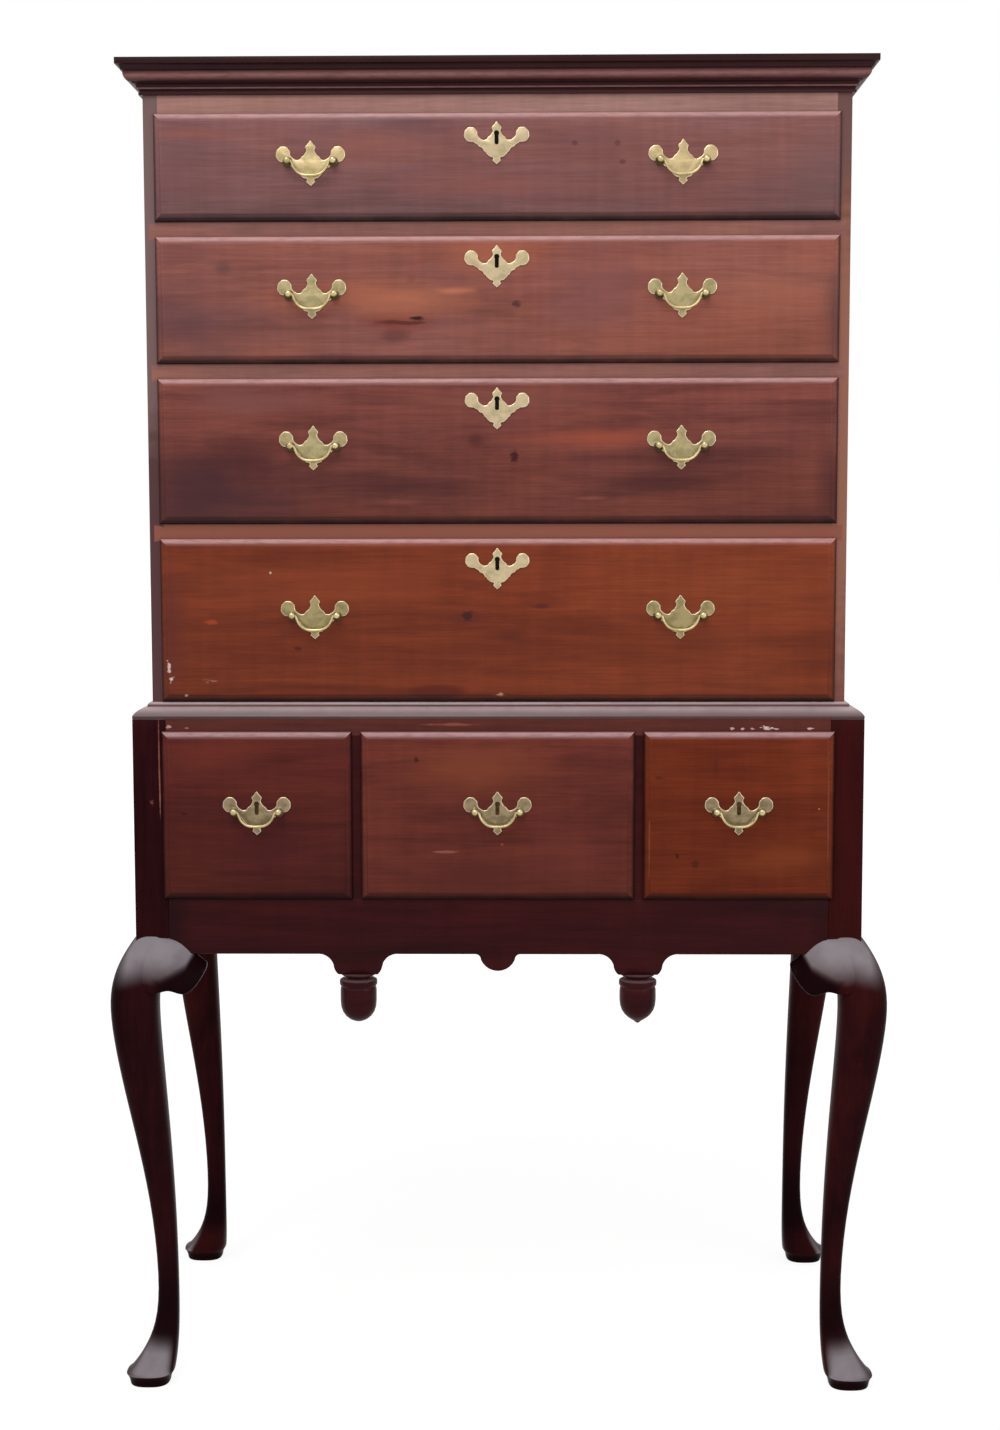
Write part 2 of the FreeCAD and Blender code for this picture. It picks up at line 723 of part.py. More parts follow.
# ---------------------------------------------------------------- drawers
class Drawer:
    """One drawer: its opening, the face of the case, and the places of its brasses."""

    def __init__(self, name, left, right, floor, opening_height, face, pulls, locked):
        self.name = name
        self.left = left
        self.right = right
        self.floor = floor
        self.ceiling = floor + opening_height
        self.face = face
        self.pulls = pulls
        self.locked = locked
        self.low = floor + seat_gap
        self.top = self.ceiling + lip_cover
        self.lip_face = face - seat_gap - lip_thickness
        self.body_rear = face + front_body
        self.rear = (upper_rear if locked else back - board) - drawer_end_gap
        self.side_top = self.ceiling - side_drop
        self.groove = self.low + groove_lift
        self.middle_x = (left + right) / 2
        self.pull_z = (self.low + self.top) / 2 + pull_rise
        self.lock_top = self.ceiling - top_gap

    def front_board(self):
        x0 = self.left - lip_cover
        x1 = self.right + lip_cover
        lip = box(x0, x1, self.lip_face + lip_step, self.face - seat_gap, self.low, self.top)
        lip = lip.makeFillet(lip_round, edges_at(lip, self.lip_face + lip_step))
        field = box(x0 + lip_border, x1 - lip_border, self.lip_face, self.face - seat_gap,
                    self.low + lip_border, self.top - lip_border)
        body = box(self.left + side_gap, self.right - side_gap, self.face - seat_gap, self.body_rear,
                   self.low, self.ceiling - top_gap)
        cutters = self.front_tails() + [self.front_groove()]
        for x in self.pulls:
            cutters += [shank_blank(place, self.pull_z, self.lip_face - 1, self.body_rear + 1, post_clearance)
                        for place in post_places(x)]
        if self.locked:
            cutters += [self.lock_pocket(), self.key_slot(self.lip_face - 1, self.body_rear)]
        return without(joined([lip, field, body]), cutters)

    def key_slot(self, y0, y1):
        """Way for the key behind the keyhole."""
        middle = self.top - escutcheon_drop + keyhole_rise
        return box(-keyhole_radius, keyhole_radius, y0, y1, middle - keyhole_height / 2, middle + keyhole_height / 2)

    def front_tails(self):
        """Half-blind tails of both sides."""
        low = self.groove + bottom_edge
        push = Vector(drawer_side, 0, 0)
        x = self.left + side_gap
        row = tails(low, self.side_top, front_lap, tail_pitch,
                    lambda along, out: Vector(x, self.body_rear - out, along), push)
        shift = self.right - self.left - 2 * side_gap - drawer_side
        return row + [shape.translated(Vector(shift, 0, 0)) for shape in row]

    def rear_tails(self):
        """Through tails of both sides, in the back."""
        low = self.groove + bottom_edge
        push = Vector(drawer_side, 0, 0)
        x = self.left + side_gap
        row = tails(low, self.side_top - back_drop, drawer_back, tail_pitch,
                    lambda along, out: Vector(x, self.rear - drawer_back + out, along), push)
        shift = self.right - self.left - 2 * side_gap - drawer_side
        return row + [shape.translated(Vector(shift, 0, 0)) for shape in row]

    def front_groove(self):
        reach = side_gap + drawer_side - groove_depth
        return box(self.left + reach, self.right - reach, self.body_rear - groove_depth, self.body_rear + 1,
                   self.groove, self.groove + bottom_edge)

    def sides(self):
        x = self.left + side_gap
        plain = box(x, x + drawer_side, self.body_rear, self.rear - drawer_back, self.low, self.side_top)
        heel = box(x, x + drawer_side, self.rear - drawer_back, self.rear, self.low, self.groove + bottom_edge)
        half = len(self.front_tails()) // 2
        side = joined([plain, heel] + self.front_tails()[:half] + self.rear_tails()[:len(self.rear_tails()) // 2])
        groove = box(x + drawer_side - groove_depth, x + drawer_side + 1, self.body_rear, self.rear + 1,
                     self.groove, self.groove + bottom_edge)
        left_side = side.cut(groove)
        middle = Vector(self.middle_x, 0, 0)
        return [left_side, left_side.mirror(middle, Vector(1, 0, 0))]

    def back_board(self):
        plain = box(self.left + side_gap, self.right - side_gap, self.rear - drawer_back, self.rear,
                    self.groove + bottom_edge, self.side_top - back_drop)
        return without(plain, self.rear_tails())

    def bottom(self):
        """Bottom board, bevelled on its underside to fit the grooves."""
        reach = side_gap + drawer_side - groove_depth + bottom_play
        x0 = self.left + reach
        x1 = self.right - reach
        y0 = self.body_rear - groove_depth + bottom_play
        slab = box(x0, x1, y0, self.rear, self.groove, self.groove + bottom_edge)
        inner = groove_depth
        wide = [(x0 + inner, y0 + inner), (x1 - inner, y0 + inner), (x1 - inner, self.rear), (x0 + inner, self.rear)]
        cut = inner + bottom_bevel
        narrow = [(x0 + cut, y0 + cut), (x1 - cut, y0 + cut), (x1 - cut, self.rear), (x0 + cut, self.rear)]
        belly = Part.makeLoft([outline(wide, flat(self.groove)),
                               outline(narrow, flat(self.groove - bottom_belly))], True, True)
        return joined([slab, belly])

    def box_boards(self):
        return self.sides() + [self.back_board(), self.bottom()]

    def lock_pocket(self):
        half = lock_width / 2
        return box(-half, half, self.body_rear - lock_thickness, self.body_rear + 1,
                   self.lock_top - lock_height, self.ceiling)

    def lock_case(self):
        """Lock let into the back of the front, with a chamber for its bolt."""
        half = lock_width / 2
        case = box(-half, half, self.body_rear - lock_thickness, self.body_rear,
                   self.lock_top - lock_height, self.lock_top)
        wide = bolt_width / 2 + bolt_clearance
        deep = bolt_thickness / 2 + bolt_clearance
        chamber = box(-wide, wide, bolt_middle() - deep, bolt_middle() + deep,
                      self.lock_top - bolt_height - bolt_clearance, self.lock_top + 1)
        slot = self.key_slot(self.body_rear - lock_thickness - 1, self.body_rear - lock_thickness / 2)
        return case.cut([chamber, slot])

    def lock_bolt(self):
        middle = bolt_middle()
        return box(-bolt_width / 2, bolt_width / 2, middle - bolt_thickness / 2, middle + bolt_thickness / 2,
                   self.lock_top - bolt_height, self.lock_top)

    def brasses(self):
        pieces = []
        for x in self.pulls:
            blank = plate(x, self.pull_z, self.lip_face, not self.locked)
            holes = [shank_blank(place, self.pull_z, self.lip_face - 5, self.lip_face + 5, post_clearance)
                     for place in post_places(x)]
            pieces.append(blank.cut(holes))
            for place, inward in zip(post_places(x), (1, -1)):
                pieces.append(pull_post(place, self.pull_z, self.lip_face, self.body_rear, inward))
                pieces.append(pull_nut(place, self.pull_z, self.body_rear))
        if self.locked:
            pieces += [plate(self.middle_x, self.top - escutcheon_drop, self.lip_face, True), self.lock_case()]
        return pieces


def all_drawers():
    """Upper drawers from the top down, then the base drawers from left to right."""
    drawers = []
    for row, (floor, opening) in enumerate(zip(opening_floors(), opening_heights)):
        drawers.append(Drawer("upper_drawer_%d" % (row + 1), -upper_inside, upper_inside, floor, opening,
                              upper_front, (-pull_spacing / 2, pull_spacing / 2), True))
    edge = partition_place + partition_thickness / 2
    for name, left, right in (("left", -post_inside, -edge), ("centre", -centre_opening / 2, centre_opening / 2),
                              ("right", edge, post_inside)):
        drawers.append(Drawer("base_drawer_" + name, left, right, base_floor, base_opening_height,
                              front, ((left + right) / 2,), False))
    return drawers


# ---------------------------------------------------------------- files
def save(name, shapes):
    """Write one node; several solids go in as a group."""
    solids = [solid for shape in shapes for solid in shape.Solids]
    whole = solids[0] if len(solids) == 1 else Part.makeCompound(solids)
    whole.exportStep("parts/" + name + ".step")


def save_base():
    boards = [skirt_board(), base_top_rail(), base_side(), flip_x(base_side()), base_back_board()]
    legs = {"leg_front_left": leg(), "leg_front_right": flip_x(leg()),
            "leg_back_left": flip_y(leg()), "leg_back_right": flip_x(flip_y(leg()))}
    for name, shape in legs.items():
        save(name, [shape.cut(boards)])
    save("skirt_board", boards[:1])
    save("base_top_rail", boards[1:2])
    save("base_side_right", boards[2:3])
    save("base_side_left", boards[3:4])
    save("base_back_board", boards[4:])
    save("base_partitions", base_partitions())
    save("base_runners", base_runners())
    save("base_guides", base_guides())
    save("knee_brackets", knee_brackets())
    save("skirt_drops", skirt_drops())
    save("waist_moulding", waist_moulding())


def save_upper_case():
    side = upper_case_side()
    save("upper_side_right", [side])
    save("upper_side_left", [flip_x(side)])
    save("upper_top_board", [case_board(case_top, top_board)])
    save("upper_bottom_board", [case_board(base_top, bottom_board)])
    save("upper_back_boards", upper_back_boards())
    save("frieze_rail", [frieze_rail()])
    save("drawer_dividers", drawer_dividers())
    save("upper_runners", upper_runners())
    save("cornice", cornice())


def save_drawers():
    for drawer in all_drawers():
        save(drawer.name + "_front", [drawer.front_board()])
        save(drawer.name + "_box", drawer.box_boards())
        save(drawer.name + "_brasses", drawer.brasses())
        if drawer.locked:
            save(drawer.name + "_lock_bolt", [drawer.lock_bolt()])
        sides = ("_left", "_right") if len(drawer.pulls) > 1 else ("",)
        for x, side in zip(drawer.pulls, sides):
            save(drawer.name + "_bail" + side, [bail(x, drawer.pull_z, drawer.lip_face)])


os.makedirs("parts", exist_ok=True)
save_base()
save_upper_case()
save_drawers()
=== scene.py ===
import cmath
import json
import math
from functools import cache, partial

import bpy
from bpy.props import FloatProperty, FloatVectorProperty, PointerProperty
from bpy.types import NodeSocket, Operator, Panel, PropertyGroup
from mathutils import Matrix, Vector

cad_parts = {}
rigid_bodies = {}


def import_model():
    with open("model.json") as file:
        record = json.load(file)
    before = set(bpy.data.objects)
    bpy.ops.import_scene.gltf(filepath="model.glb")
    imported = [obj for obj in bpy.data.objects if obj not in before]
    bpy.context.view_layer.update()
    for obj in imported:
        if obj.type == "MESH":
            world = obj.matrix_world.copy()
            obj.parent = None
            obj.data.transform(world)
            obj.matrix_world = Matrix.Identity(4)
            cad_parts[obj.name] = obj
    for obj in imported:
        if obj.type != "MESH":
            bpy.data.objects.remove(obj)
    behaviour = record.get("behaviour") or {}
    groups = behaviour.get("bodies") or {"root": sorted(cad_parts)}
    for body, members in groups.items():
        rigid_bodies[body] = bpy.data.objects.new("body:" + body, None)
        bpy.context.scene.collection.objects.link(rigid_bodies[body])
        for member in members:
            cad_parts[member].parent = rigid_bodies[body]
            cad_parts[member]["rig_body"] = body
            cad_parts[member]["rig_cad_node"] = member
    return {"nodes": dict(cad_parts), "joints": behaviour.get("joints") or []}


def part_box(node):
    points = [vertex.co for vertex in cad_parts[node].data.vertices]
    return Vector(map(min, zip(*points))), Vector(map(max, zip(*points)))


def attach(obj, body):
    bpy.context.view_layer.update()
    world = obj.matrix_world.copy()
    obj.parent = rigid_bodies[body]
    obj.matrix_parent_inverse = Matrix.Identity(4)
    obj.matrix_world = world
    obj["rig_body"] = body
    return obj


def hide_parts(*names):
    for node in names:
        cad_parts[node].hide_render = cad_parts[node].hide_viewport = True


bl_info = {
    "name": "Queen Anne Highboy",
    "version": (1, 0, 0),
    "blender": (4, 5, 0),
    "location": "View3D > Sidebar > Highboy",
    "description": "Cabriole legs, mouldings, lipped drawers and batwing brasses for a flat-top highboy",
    "category": "Object",
}

# ---- the case that carries everything
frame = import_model()
NODES = frame["nodes"]
HINGED = {joint["child"] for joint in frame["joints"] if joint["name"].endswith("_hinge")}
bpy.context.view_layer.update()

UPPER = ["upper_drawer_%d" % row for row in (1, 2, 3, 4)]
BASE = ["base_drawer_left", "base_drawer_centre", "base_drawer_right"]

MM = 0.001
SIDE_LOW, SIDE_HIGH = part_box("base_side_right")
SKIRT_LOW, SKIRT_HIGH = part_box("skirt_board")
HALF_WIDTH, SKIRT_EDGE, BASE_TOP = SIDE_HIGH.x, SIDE_LOW.z, SIDE_HIGH.z
BASE_FRONT, BOARD, SKIRT_TOP = SKIRT_LOW.y, SKIRT_HIGH.y - SKIRT_LOW.y, SKIRT_HIGH.z
BASE_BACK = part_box("base_back_board")[1].y
UPPER_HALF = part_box("upper_side_right")[1].x
UPPER_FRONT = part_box("frieze_rail")[0].y
WAIST_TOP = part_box("waist_moulding")[1].z
CORNICE_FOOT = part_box("cornice")[0].z
POST = 45 * MM
POST_INSIDE = HALF_WIDTH - POST
DROP_PLACE = 189 * MM
DROP_TOP = SKIRT_EDGE - 28 * MM
LIP_THICKNESS = 8 * MM
PULL_SPACING = 488 * MM
PULL_RISE = 7 * MM
ESCUTCHEON_DROP = 38 * MM
POST_SPACING = 60 * MM
PLATE_THICKNESS = 2 * MM
# How far a post's foot is set low, so that its dark brass shows below the knob as a painted shadow.
SHADOW_SAG = 1.1 * MM
LOCK_HALF = 31 * MM


def colour(red, green, blue):
    """A colour given as it looks on a screen, 0 to 255, as the plain values that shaders take."""
    plain = []
    for part in (red, green, blue):
        share = part / 255
        plain.append(share / 12.92 if share < 0.04045 else ((share + 0.055) / 1.055) ** 2.4)
    return (*plain, 1.0)


# ---- handling meshes
def rest():
    """Object mode with nothing selected."""
    if bpy.context.mode != "OBJECT":
        bpy.ops.object.mode_set(mode="OBJECT")
    bpy.ops.object.select_all(action="DESELECT")


def only(piece):
    """Selects one object and makes it active."""
    rest()
    piece.select_set(True)
    bpy.context.view_layer.objects.active = piece


def settle():
    """Moves the active object's place, turn and scale into its mesh."""
    bpy.ops.object.transform_apply(location=True, rotation=True, scale=True)


def edit(piece):
    """Goes into edit mode on one object with its whole mesh selected."""
    only(piece)
    bpy.ops.object.mode_set(mode="EDIT")
    bpy.ops.mesh.select_all(action="SELECT")


def take(kind):
    """Selects the whole mesh in edit mode, as vertices, edges or faces."""
    bpy.ops.mesh.select_mode(type=kind)
    bpy.ops.mesh.select_all(action="SELECT")


def push(step):
    """Extrudes what is selected."""
    bpy.ops.mesh.extrude_region_move(TRANSFORM_OT_translate={"value": Vector(step)})


def block(low, high):
    """A board between two corners."""
    rest()
    bpy.ops.mesh.primitive_cube_add(size=1, location=(Vector(low) + Vector(high)) / 2)
    bpy.context.object.scale = Vector(high) - Vector(low)
    settle()
    return bpy.context.object


def trace(points):
    """Draws a run of edges by extruding one corner from point to point. Stays in edit mode."""
    rest()
    bpy.ops.mesh.primitive_plane_add(size=MM, location=points[0])
    settle()
    bpy.ops.object.mode_set(mode="EDIT")
    take("VERT")
    bpy.ops.mesh.merge(type="CENTER")
    for start, end in zip(points, points[1:]):
        push(Vector(end) - Vector(start))
    return bpy.context.object


def sheet(points):
    """A traced outline made into a face, which stays selected in edit mode."""
    piece = trace(points)
    take("VERT")
    bpy.ops.mesh.edge_face_add()
    bpy.ops.mesh.select_mode(type="FACE")
    return piece


def slab(points, step):
    """A traced outline pushed out into a board."""
    piece = sheet(points)
    push(step)
    return close_up(piece)


def pick(piece, kind, test):
    """Selects the edges whose ends, or the faces whose normal, pass a test. Goes into edit mode."""
    only(piece)
    mesh = piece.data
    for items in (mesh.vertices, mesh.edges, mesh.polygons):
        items.foreach_set("select", [False] * len(items))
    bpy.context.tool_settings.mesh_select_mode = (False, kind == "EDGE", kind == "FACE")
    if kind == "FACE":
        chosen = [face for face in mesh.polygons if test(face.normal)]
    else:
        chosen = [edge for edge in mesh.edges if all(test(mesh.vertices[end].co) for end in edge.vertices)]
    if not chosen:
        raise RuntimeError("nothing to select on %s" % piece.name)
    for item in chosen:
        item.select = True
    bpy.ops.object.mode_set(mode="EDIT")


def close_up(piece):
    """Joins doubled corners and turns all faces outwards."""
    edit(piece)
    bpy.ops.mesh.remove_doubles(threshold=0.01 * MM)
    bpy.ops.mesh.normals_make_consistent(inside=False)
    rest()
    return piece


def modify(piece, kind, **values):
    """Adds one modifier and applies it."""
    only(piece)
    bpy.ops.object.modifier_add(type=kind)
    modifier = piece.modifiers[-1]
    for name, value in values.items():
        setattr(modifier, name, value)
    bpy.ops.object.modifier_apply(modifier=modifier.name)
    return piece


def ease(piece, width):
    """Rounds the sharp edges a little, as use and sandpaper do."""
    return modify(piece, "BEVEL", width=width, segments=2, limit_method="ANGLE", angle_limit=math.radians(32),
                  harden_normals=False, use_clamp_overlap=True)


def rounded(piece):
    """Two rounds of subdivision."""
    return modify(piece, "SUBSURF", levels=2, render_levels=2)


def smooth(piece, angle):
    """Shades smoothly across edges up to an angle in degrees."""
    only(piece)
    bpy.ops.object.shade_smooth_by_angle(angle=math.radians(angle))
    return piece


def twin(piece, place=(0, 0, 0), turn=0.0, scale=(1, 1, 1)):
    """A copy with its own mesh, placed, turned about Z and scaled, with all of it in the mesh."""
    only(piece)
    bpy.ops.object.duplicate(linked=False)
    copy = bpy.context.object
    copy.location = place
    copy.rotation_euler = (0, 0, turn)
    copy.scale = scale
    settle()
    return close_up(copy)


def joined(pieces):
    """One object made of all the pieces."""
    rest()
    for piece in pieces:
        piece.select_set(True)
    bpy.context.view_layer.objects.active = pieces[0]
    bpy.ops.object.join()
    return bpy.context.object


def case_copy(node, depth):
    """A merged copy of what lies behind a depth in a node's mesh."""
    only(NODES[node])
    bpy.ops.object.duplicate(linked=False)
    copy = bpy.context.object
    copy.parent = None
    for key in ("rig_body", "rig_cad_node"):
        if key in copy:
            del copy[key]
    edit(close_up(copy))
    bpy.ops.mesh.bisect(plane_co=(0, depth, 0), plane_no=(0, 1, 0), use_fill=True, clear_inner=True)
    rest()
    return copy


def arc(start, end, rise, steps):
    """Points after start and up to end on an arc. A positive rise bulges to the left of travel."""
    if not rise:
        return [end]
    first, last = complex(*start), complex(*end)
    sweep = -4 * math.atan(2 * rise / abs(last - first))
    centre = (last - first * cmath.exp(1j * sweep)) / (1 - cmath.exp(1j * sweep))
    places = [centre + (first - centre) * cmath.exp(1j * sweep * step / steps) for step in range(1, steps)]
    return [(place.real, place.imag) for place in places] + [end]


def outline(points, steps=8):
    """Flat outline in millimetres, with arcs where a point has a rise, as points in metres."""
    flat = []
    previous = points[-1][:2]
    for point in points:
        rise = point[2] if len(point) > 2 else 0
        flat += arc(previous, point[:2], rise, steps)
        previous = point[:2]
    return [(a * MM, b * MM) for a, b in flat]


def within(value, high=1.0):
    """A value kept between 0 and a limit."""
    return max(0.0, min(high, value))


def marks(piece, domain="POINT"):
    """The two painted marks a finish reads, empty as yet: a painted highlight, which on the brass plates is
    also rubbed brass, and a darkening, which is painted shade on most pieces.
    """
    layers = piece.data.attributes
    for name in ("worn", "grime"):
        layers.new(name, "FLOAT", domain)
    return layers["worn"].data, layers["grime"].data


def paint(piece, worn=None, grime=None):
    """Paints the marks by a rule for each, which takes a vertex's place in millimetres."""
    for layer, rule in zip(marks(piece), (worn, grime)):
        if rule:
            for mark, vertex in zip(layer, piece.data.vertices):
                mark.value = rule(*[part / MM for part in vertex.co])


def place(piece, name, body, slot, material, *nodes):
    """Names the piece, gives it its finish, unless it has its own, and puts it in place of its nodes."""
    piece.name = name
    piece.data.name = name
    if material:
        piece.data.materials.clear()
        piece.data.materials.append(material)
    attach(piece, body)
    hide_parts(*nodes)
    return piece


# ---- colours and patterns
def feed(node, values):
    """Fills a node's inputs. A value is a socket to link from, or what the input is set to."""
    for name, value in values.items():
        if isinstance(value, NodeSocket):
            node.id_data.links.new(value, node.inputs[name])
        else:
            node.inputs[name].default_value = value


def add(tree, kind, values=None, **options):
    """Adds a shader node to a tree, or to the tree that a socket is in, with its options and inputs."""
    if isinstance(tree, NodeSocket):
        tree = tree.id_data
    node = tree.nodes.new("ShaderNode" + kind)
    for name, option in options.items():
        setattr(node, name, option)
    feed(node, values or {})
    return node


def maths(operation, *values, clamp=False):
    """One Math node. A value may be a socket or a number."""
    near = next(value for value in values if isinstance(value, NodeSocket))
    return add(near, "Math", dict(enumerate(values)), operation=operation, use_clamp=clamp).outputs[0]


plus, minus, times, over = (partial(maths, name) for name in ("ADD", "SUBTRACT", "MULTIPLY", "DIVIDE"))


def vectors(operation, *values):
    """One Vector Math node's outputs. The first value is a socket."""
    return add(values[0], "VectorMath", dict(enumerate(values)), operation=operation).outputs


def mixed(share, first, second, blend="MIX"):
    """One colour Mix node. The first colour is a socket, and the rest may be sockets or values."""
    return add(first, "Mix", {"Factor": share, 6: first, 7: second}, data_type="RGBA",
               blend_type=blend).outputs[2]


def shaded(tone, level):
    """A colour made lighter or darker by a level."""
    grey = add(level, "CombineColor", dict.fromkeys(range(3), level))
    return mixed(1.0, tone, grey.outputs[0], "MULTIPLY")


def noise(vector, stretch, detail=3.0, rough=0.5, distortion=0.0, seed=0.0):
    """Noise stretched along the axes: stretch is the number of waves in a metre along each."""
    mapping = add(vector, "Mapping", {"Scale": stretch, "Vector": vector})
    return add(vector, "TexNoise", {"Vector": mapping.outputs[0], "W": seed, "Scale": 1.0, "Detail": detail,
                                    "Roughness": rough, "Distortion": distortion},
               noise_dimensions="4D").outputs["Fac"]


def spread(value, low, high, low_out=0.0, high_out=1.0):
    """Map Range: value from low to high becomes low_out to high_out, smoothly."""
    return add(value, "MapRange", {"Value": value, "From Min": low, "From Max": high, "To Min": low_out,
                                   "To Max": high_out}, interpolation_type="SMOOTHSTEP").outputs[0]


def axes(vector):
    """The three parts of a vector."""
    return add(vector, "SeparateXYZ", {0: vector}).outputs


def facing(near):
    """The three parts of the way the surface faces."""
    return axes(add(near, "NewGeometry").outputs["Normal"])


# The effects. Their arguments become the inputs of a group, and what they return becomes its outputs.
def stained_wood(vector: "Vector", pale: "Color", deep: "Color", patch: "Color", figure: "Float",
                 patches: "Float", seed: "Float"):
    """Stained and varnished wood with its grain along X."""
    streaks = noise(vector, (3.0, 26, 30), 6, 0.64, 0.9, seed)
    fine = noise(vector, (14, 420, 420), 3, 0.6, 0.0, seed)
    clouds = noise(vector, (2.6, 7, 7), 4, 0.55, 0.5, seed)
    blots = noise(vector, (13, 38, 30), 5, 0.66, 0.5, plus(seed, 7.3))
    flecks = noise(vector, (40, 480, 480), 2, 0.5, 0.0, seed)
    chatter = noise(vector, (75, 5, 4), 2, 0.5, 0.0, seed)
    tone = mixed(times(spread(streaks, 0.36, 0.68), figure, clamp=True), pale, deep)
    tone = mixed(times(spread(clouds, 0.42, 0.66), patches, clamp=True), tone, patch)
    blot = plus(times(spread(blots, 0.52, 0.76), 0.4), times(spread(flecks, 0.58, 0.72), 0.3))
    tone = mixed(times(blot, figure, clamp=True), tone, deep)
    lines = times(spread(fine, 0.3, 0.7, 0.88, 1.1), spread(chatter, 0.3, 0.7, 0.955, 1.045))
    return {"Color": shaded(tone, lines), "Roughness": spread(clouds, 0.3, 0.75, 0.27, 0.44),
            "Height": plus(times(fine, 0.35), streaks)}


def soft_spot(vector: "Vector", place: "Vector", reach: "Vector", ragged: "Float", grit: "Float", core: "Float"):
    """A soft-edged spot, such as a knot, stain, chip or scratch."""
    offset = vectors("SUBTRACT", vector, place)[0]
    length = vectors("LENGTH", vectors("DIVIDE", offset, reach)[0])["Value"]
    along = vectors("MULTIPLY", vector, (0.4, 1, 1))[0]
    rough = add(along, "TexNoise", {"Vector": along, "Scale": grit, "Detail": 4}).outputs["Fac"]
    length = plus(length, times(times(minus(rough, 0.5), ragged), 4.0))
    outer = 1.05
    share = over(minus(outer, length), minus(outer, core))
    return {"Mask": spread(share, 0.0, 1.0)}


def haze_and_wear(vector: "Vector", color: "Color", bloom: "Color", amount: "Float", worn_color: "Color",
                  worn: "Float", grime: "Float", start: "Float", full: "Float", front: "Float"):
    """Painted sky reflection as a grey sheen on what faces up, a painted highlight colour where the first
    mark is 1, and a near-black darkening by the second mark, which is painted shade on most pieces.
    """
    normal = facing(vector)
    patchy = noise(vector, (26, 26, 26), 3, 0.6)
    # Painted sky reflection: a grey sheen on what faces up, less on what turns away from the front.
    upward = spread(over(minus(normal["Z"], start), minus(full, start)), 0.0, 1.0)
    turned_away = times(spread(normal["Y"], -0.62, -0.1), front)
    # The second mark darkens, as painted shade on most pieces, and takes the painted sheen off.
    undarkened = minus(1.0, grime, clamp=True)
    haze = times(times(times(upward, undarkened), amount), minus(1.0, turned_away))
    haze = times(haze, spread(patchy, 0.2, 0.7, 0.75, 1.0), clamp=True)
    tone = mixed(haze, color, bloom)
    # A painted highlight colour where the first mark is 1.
    broken = noise(vector, (45, 45, 260), 4, 0.65)
    tone = mixed(times(worn, spread(broken, 0.3, 0.6, 0.62, 1.0), clamp=True), tone, worn_color)
    # Darkening towards near-black by the second mark.
    darkened_share = times(grime, spread(patchy, 0.2, 0.6, 0.8, 1.0), clamp=True)
    return {"Color": mixed(darkened_share, tone, colour(20, 5, 8)), "Mask": haze}


def fade(vector: "Vector", color: "Color", low: "Float", high: "Float", amount: "Float"):
    """A painted sheen of the sky on the varnish: lighter towards the top of a board than at its bottom, in random
    patches.
    """
    share = minus(over(minus(axes(vector)["Z"], low), minus(high, low), clamp=True), 0.5)
    patchy = minus(noise(vector, (2.5, 8, 8), 2, 0.5), 0.5)
    return {"Color": shaded(color, plus(times(plus(share, patchy), amount), 1.0))}


def old_brass(vector: "Vector", bright: "Color", dull: "Color", seed: "Float", worn: "Float"):
    """Lacquered brass gone dull in patches, with a painted highlight on bevels that face up, and paler where
    the painted mark is 1, which on the plates is rubbed brass with a painted highlight.
    """
    painted_rim_highlight, wear_and_highlight_level = 0.75, 0.68
    clouds = noise(vector, (70, 70, 90), 4, 0.6, 0.4, seed)
    specks = noise(vector, (700, 700, 700), 2, 0.5, 0.0, seed)
    tone = mixed(spread(clouds, 0.38, 0.66), bright, dull)
    tone = mixed(spread(specks, 0.62, 0.74, 0.0, 0.35), tone, colour(96, 84, 52))
    normal = facing(vector)
    tilt = spread(maths("ABSOLUTE", normal["Y"]), 0.35, 0.93, 1.0, 0.0)
    upward = spread(normal["Z"], -0.3, 0.7, 0.25, 1.0)
    # Painted highlight on the bevels that face up, or the paler painted mark, whichever is more.
    edge = maths("MAXIMUM", times(times(tilt, upward), painted_rim_highlight), times(worn, wear_and_highlight_level))
    return {"Color": mixed(edge, tone, colour(238, 222, 188)),
            "Roughness": spread(clouds, 0.3, 0.7, 0.28, 0.46), "Height": specks}


def label(name):
    """The name that a group or its socket shows."""
    return name.replace("_", " ").title()


@cache
def effect_group(build):
    """An effect's group, built the first time it is asked for."""
    group = bpy.data.node_groups.new(label(build.__name__), "ShaderNodeTree")
    socket = group.interface.new_socket
    for name, kind in build.__annotations__.items():
        socket(name=label(name), in_out="INPUT", socket_type="NodeSocket" + kind)
    results = build(*group.nodes.new("NodeGroupInput").outputs[:-1])
    for name in results:
        kind = "Color" if name == "Color" else "Float"
        socket(name=name, in_out="OUTPUT", socket_type="NodeSocket" + kind)
    feed(group.nodes.new("NodeGroupOutput"), results)
    return group


def effect(build, **values):
    """Places an effect and returns its outputs."""
    values = {label(name): value for name, value in values.items()}
    return add(values["Vector"], "Group", values, node_tree=effect_group(build)).outputs


def start_finish(name, specular, metallic=0.0):
    """A material with its shader, and the place on the object."""
    material = bpy.data.materials.new(name)
    material.use_nodes = True
    tree = material.node_tree
    tree.nodes.clear()
    shader = add(tree, "BsdfPrincipled", {"Specular IOR Level": specular, "Metallic": metallic})
    add(tree, "OutputMaterial", {"Surface": shader.outputs[0]})
    return material, shader, add(tree, "TexCoord").outputs["Object"]


def painted(near, mark):
    """A painted mark as a value."""
    return add(near, "Attribute", attribute_name=mark).outputs["Fac"]


def relief(height, distance, strength):
    """A bump's normal."""
    return add(height, "Bump", {"Strength": strength, "Distance": distance, "Height": height}).outputs[0]


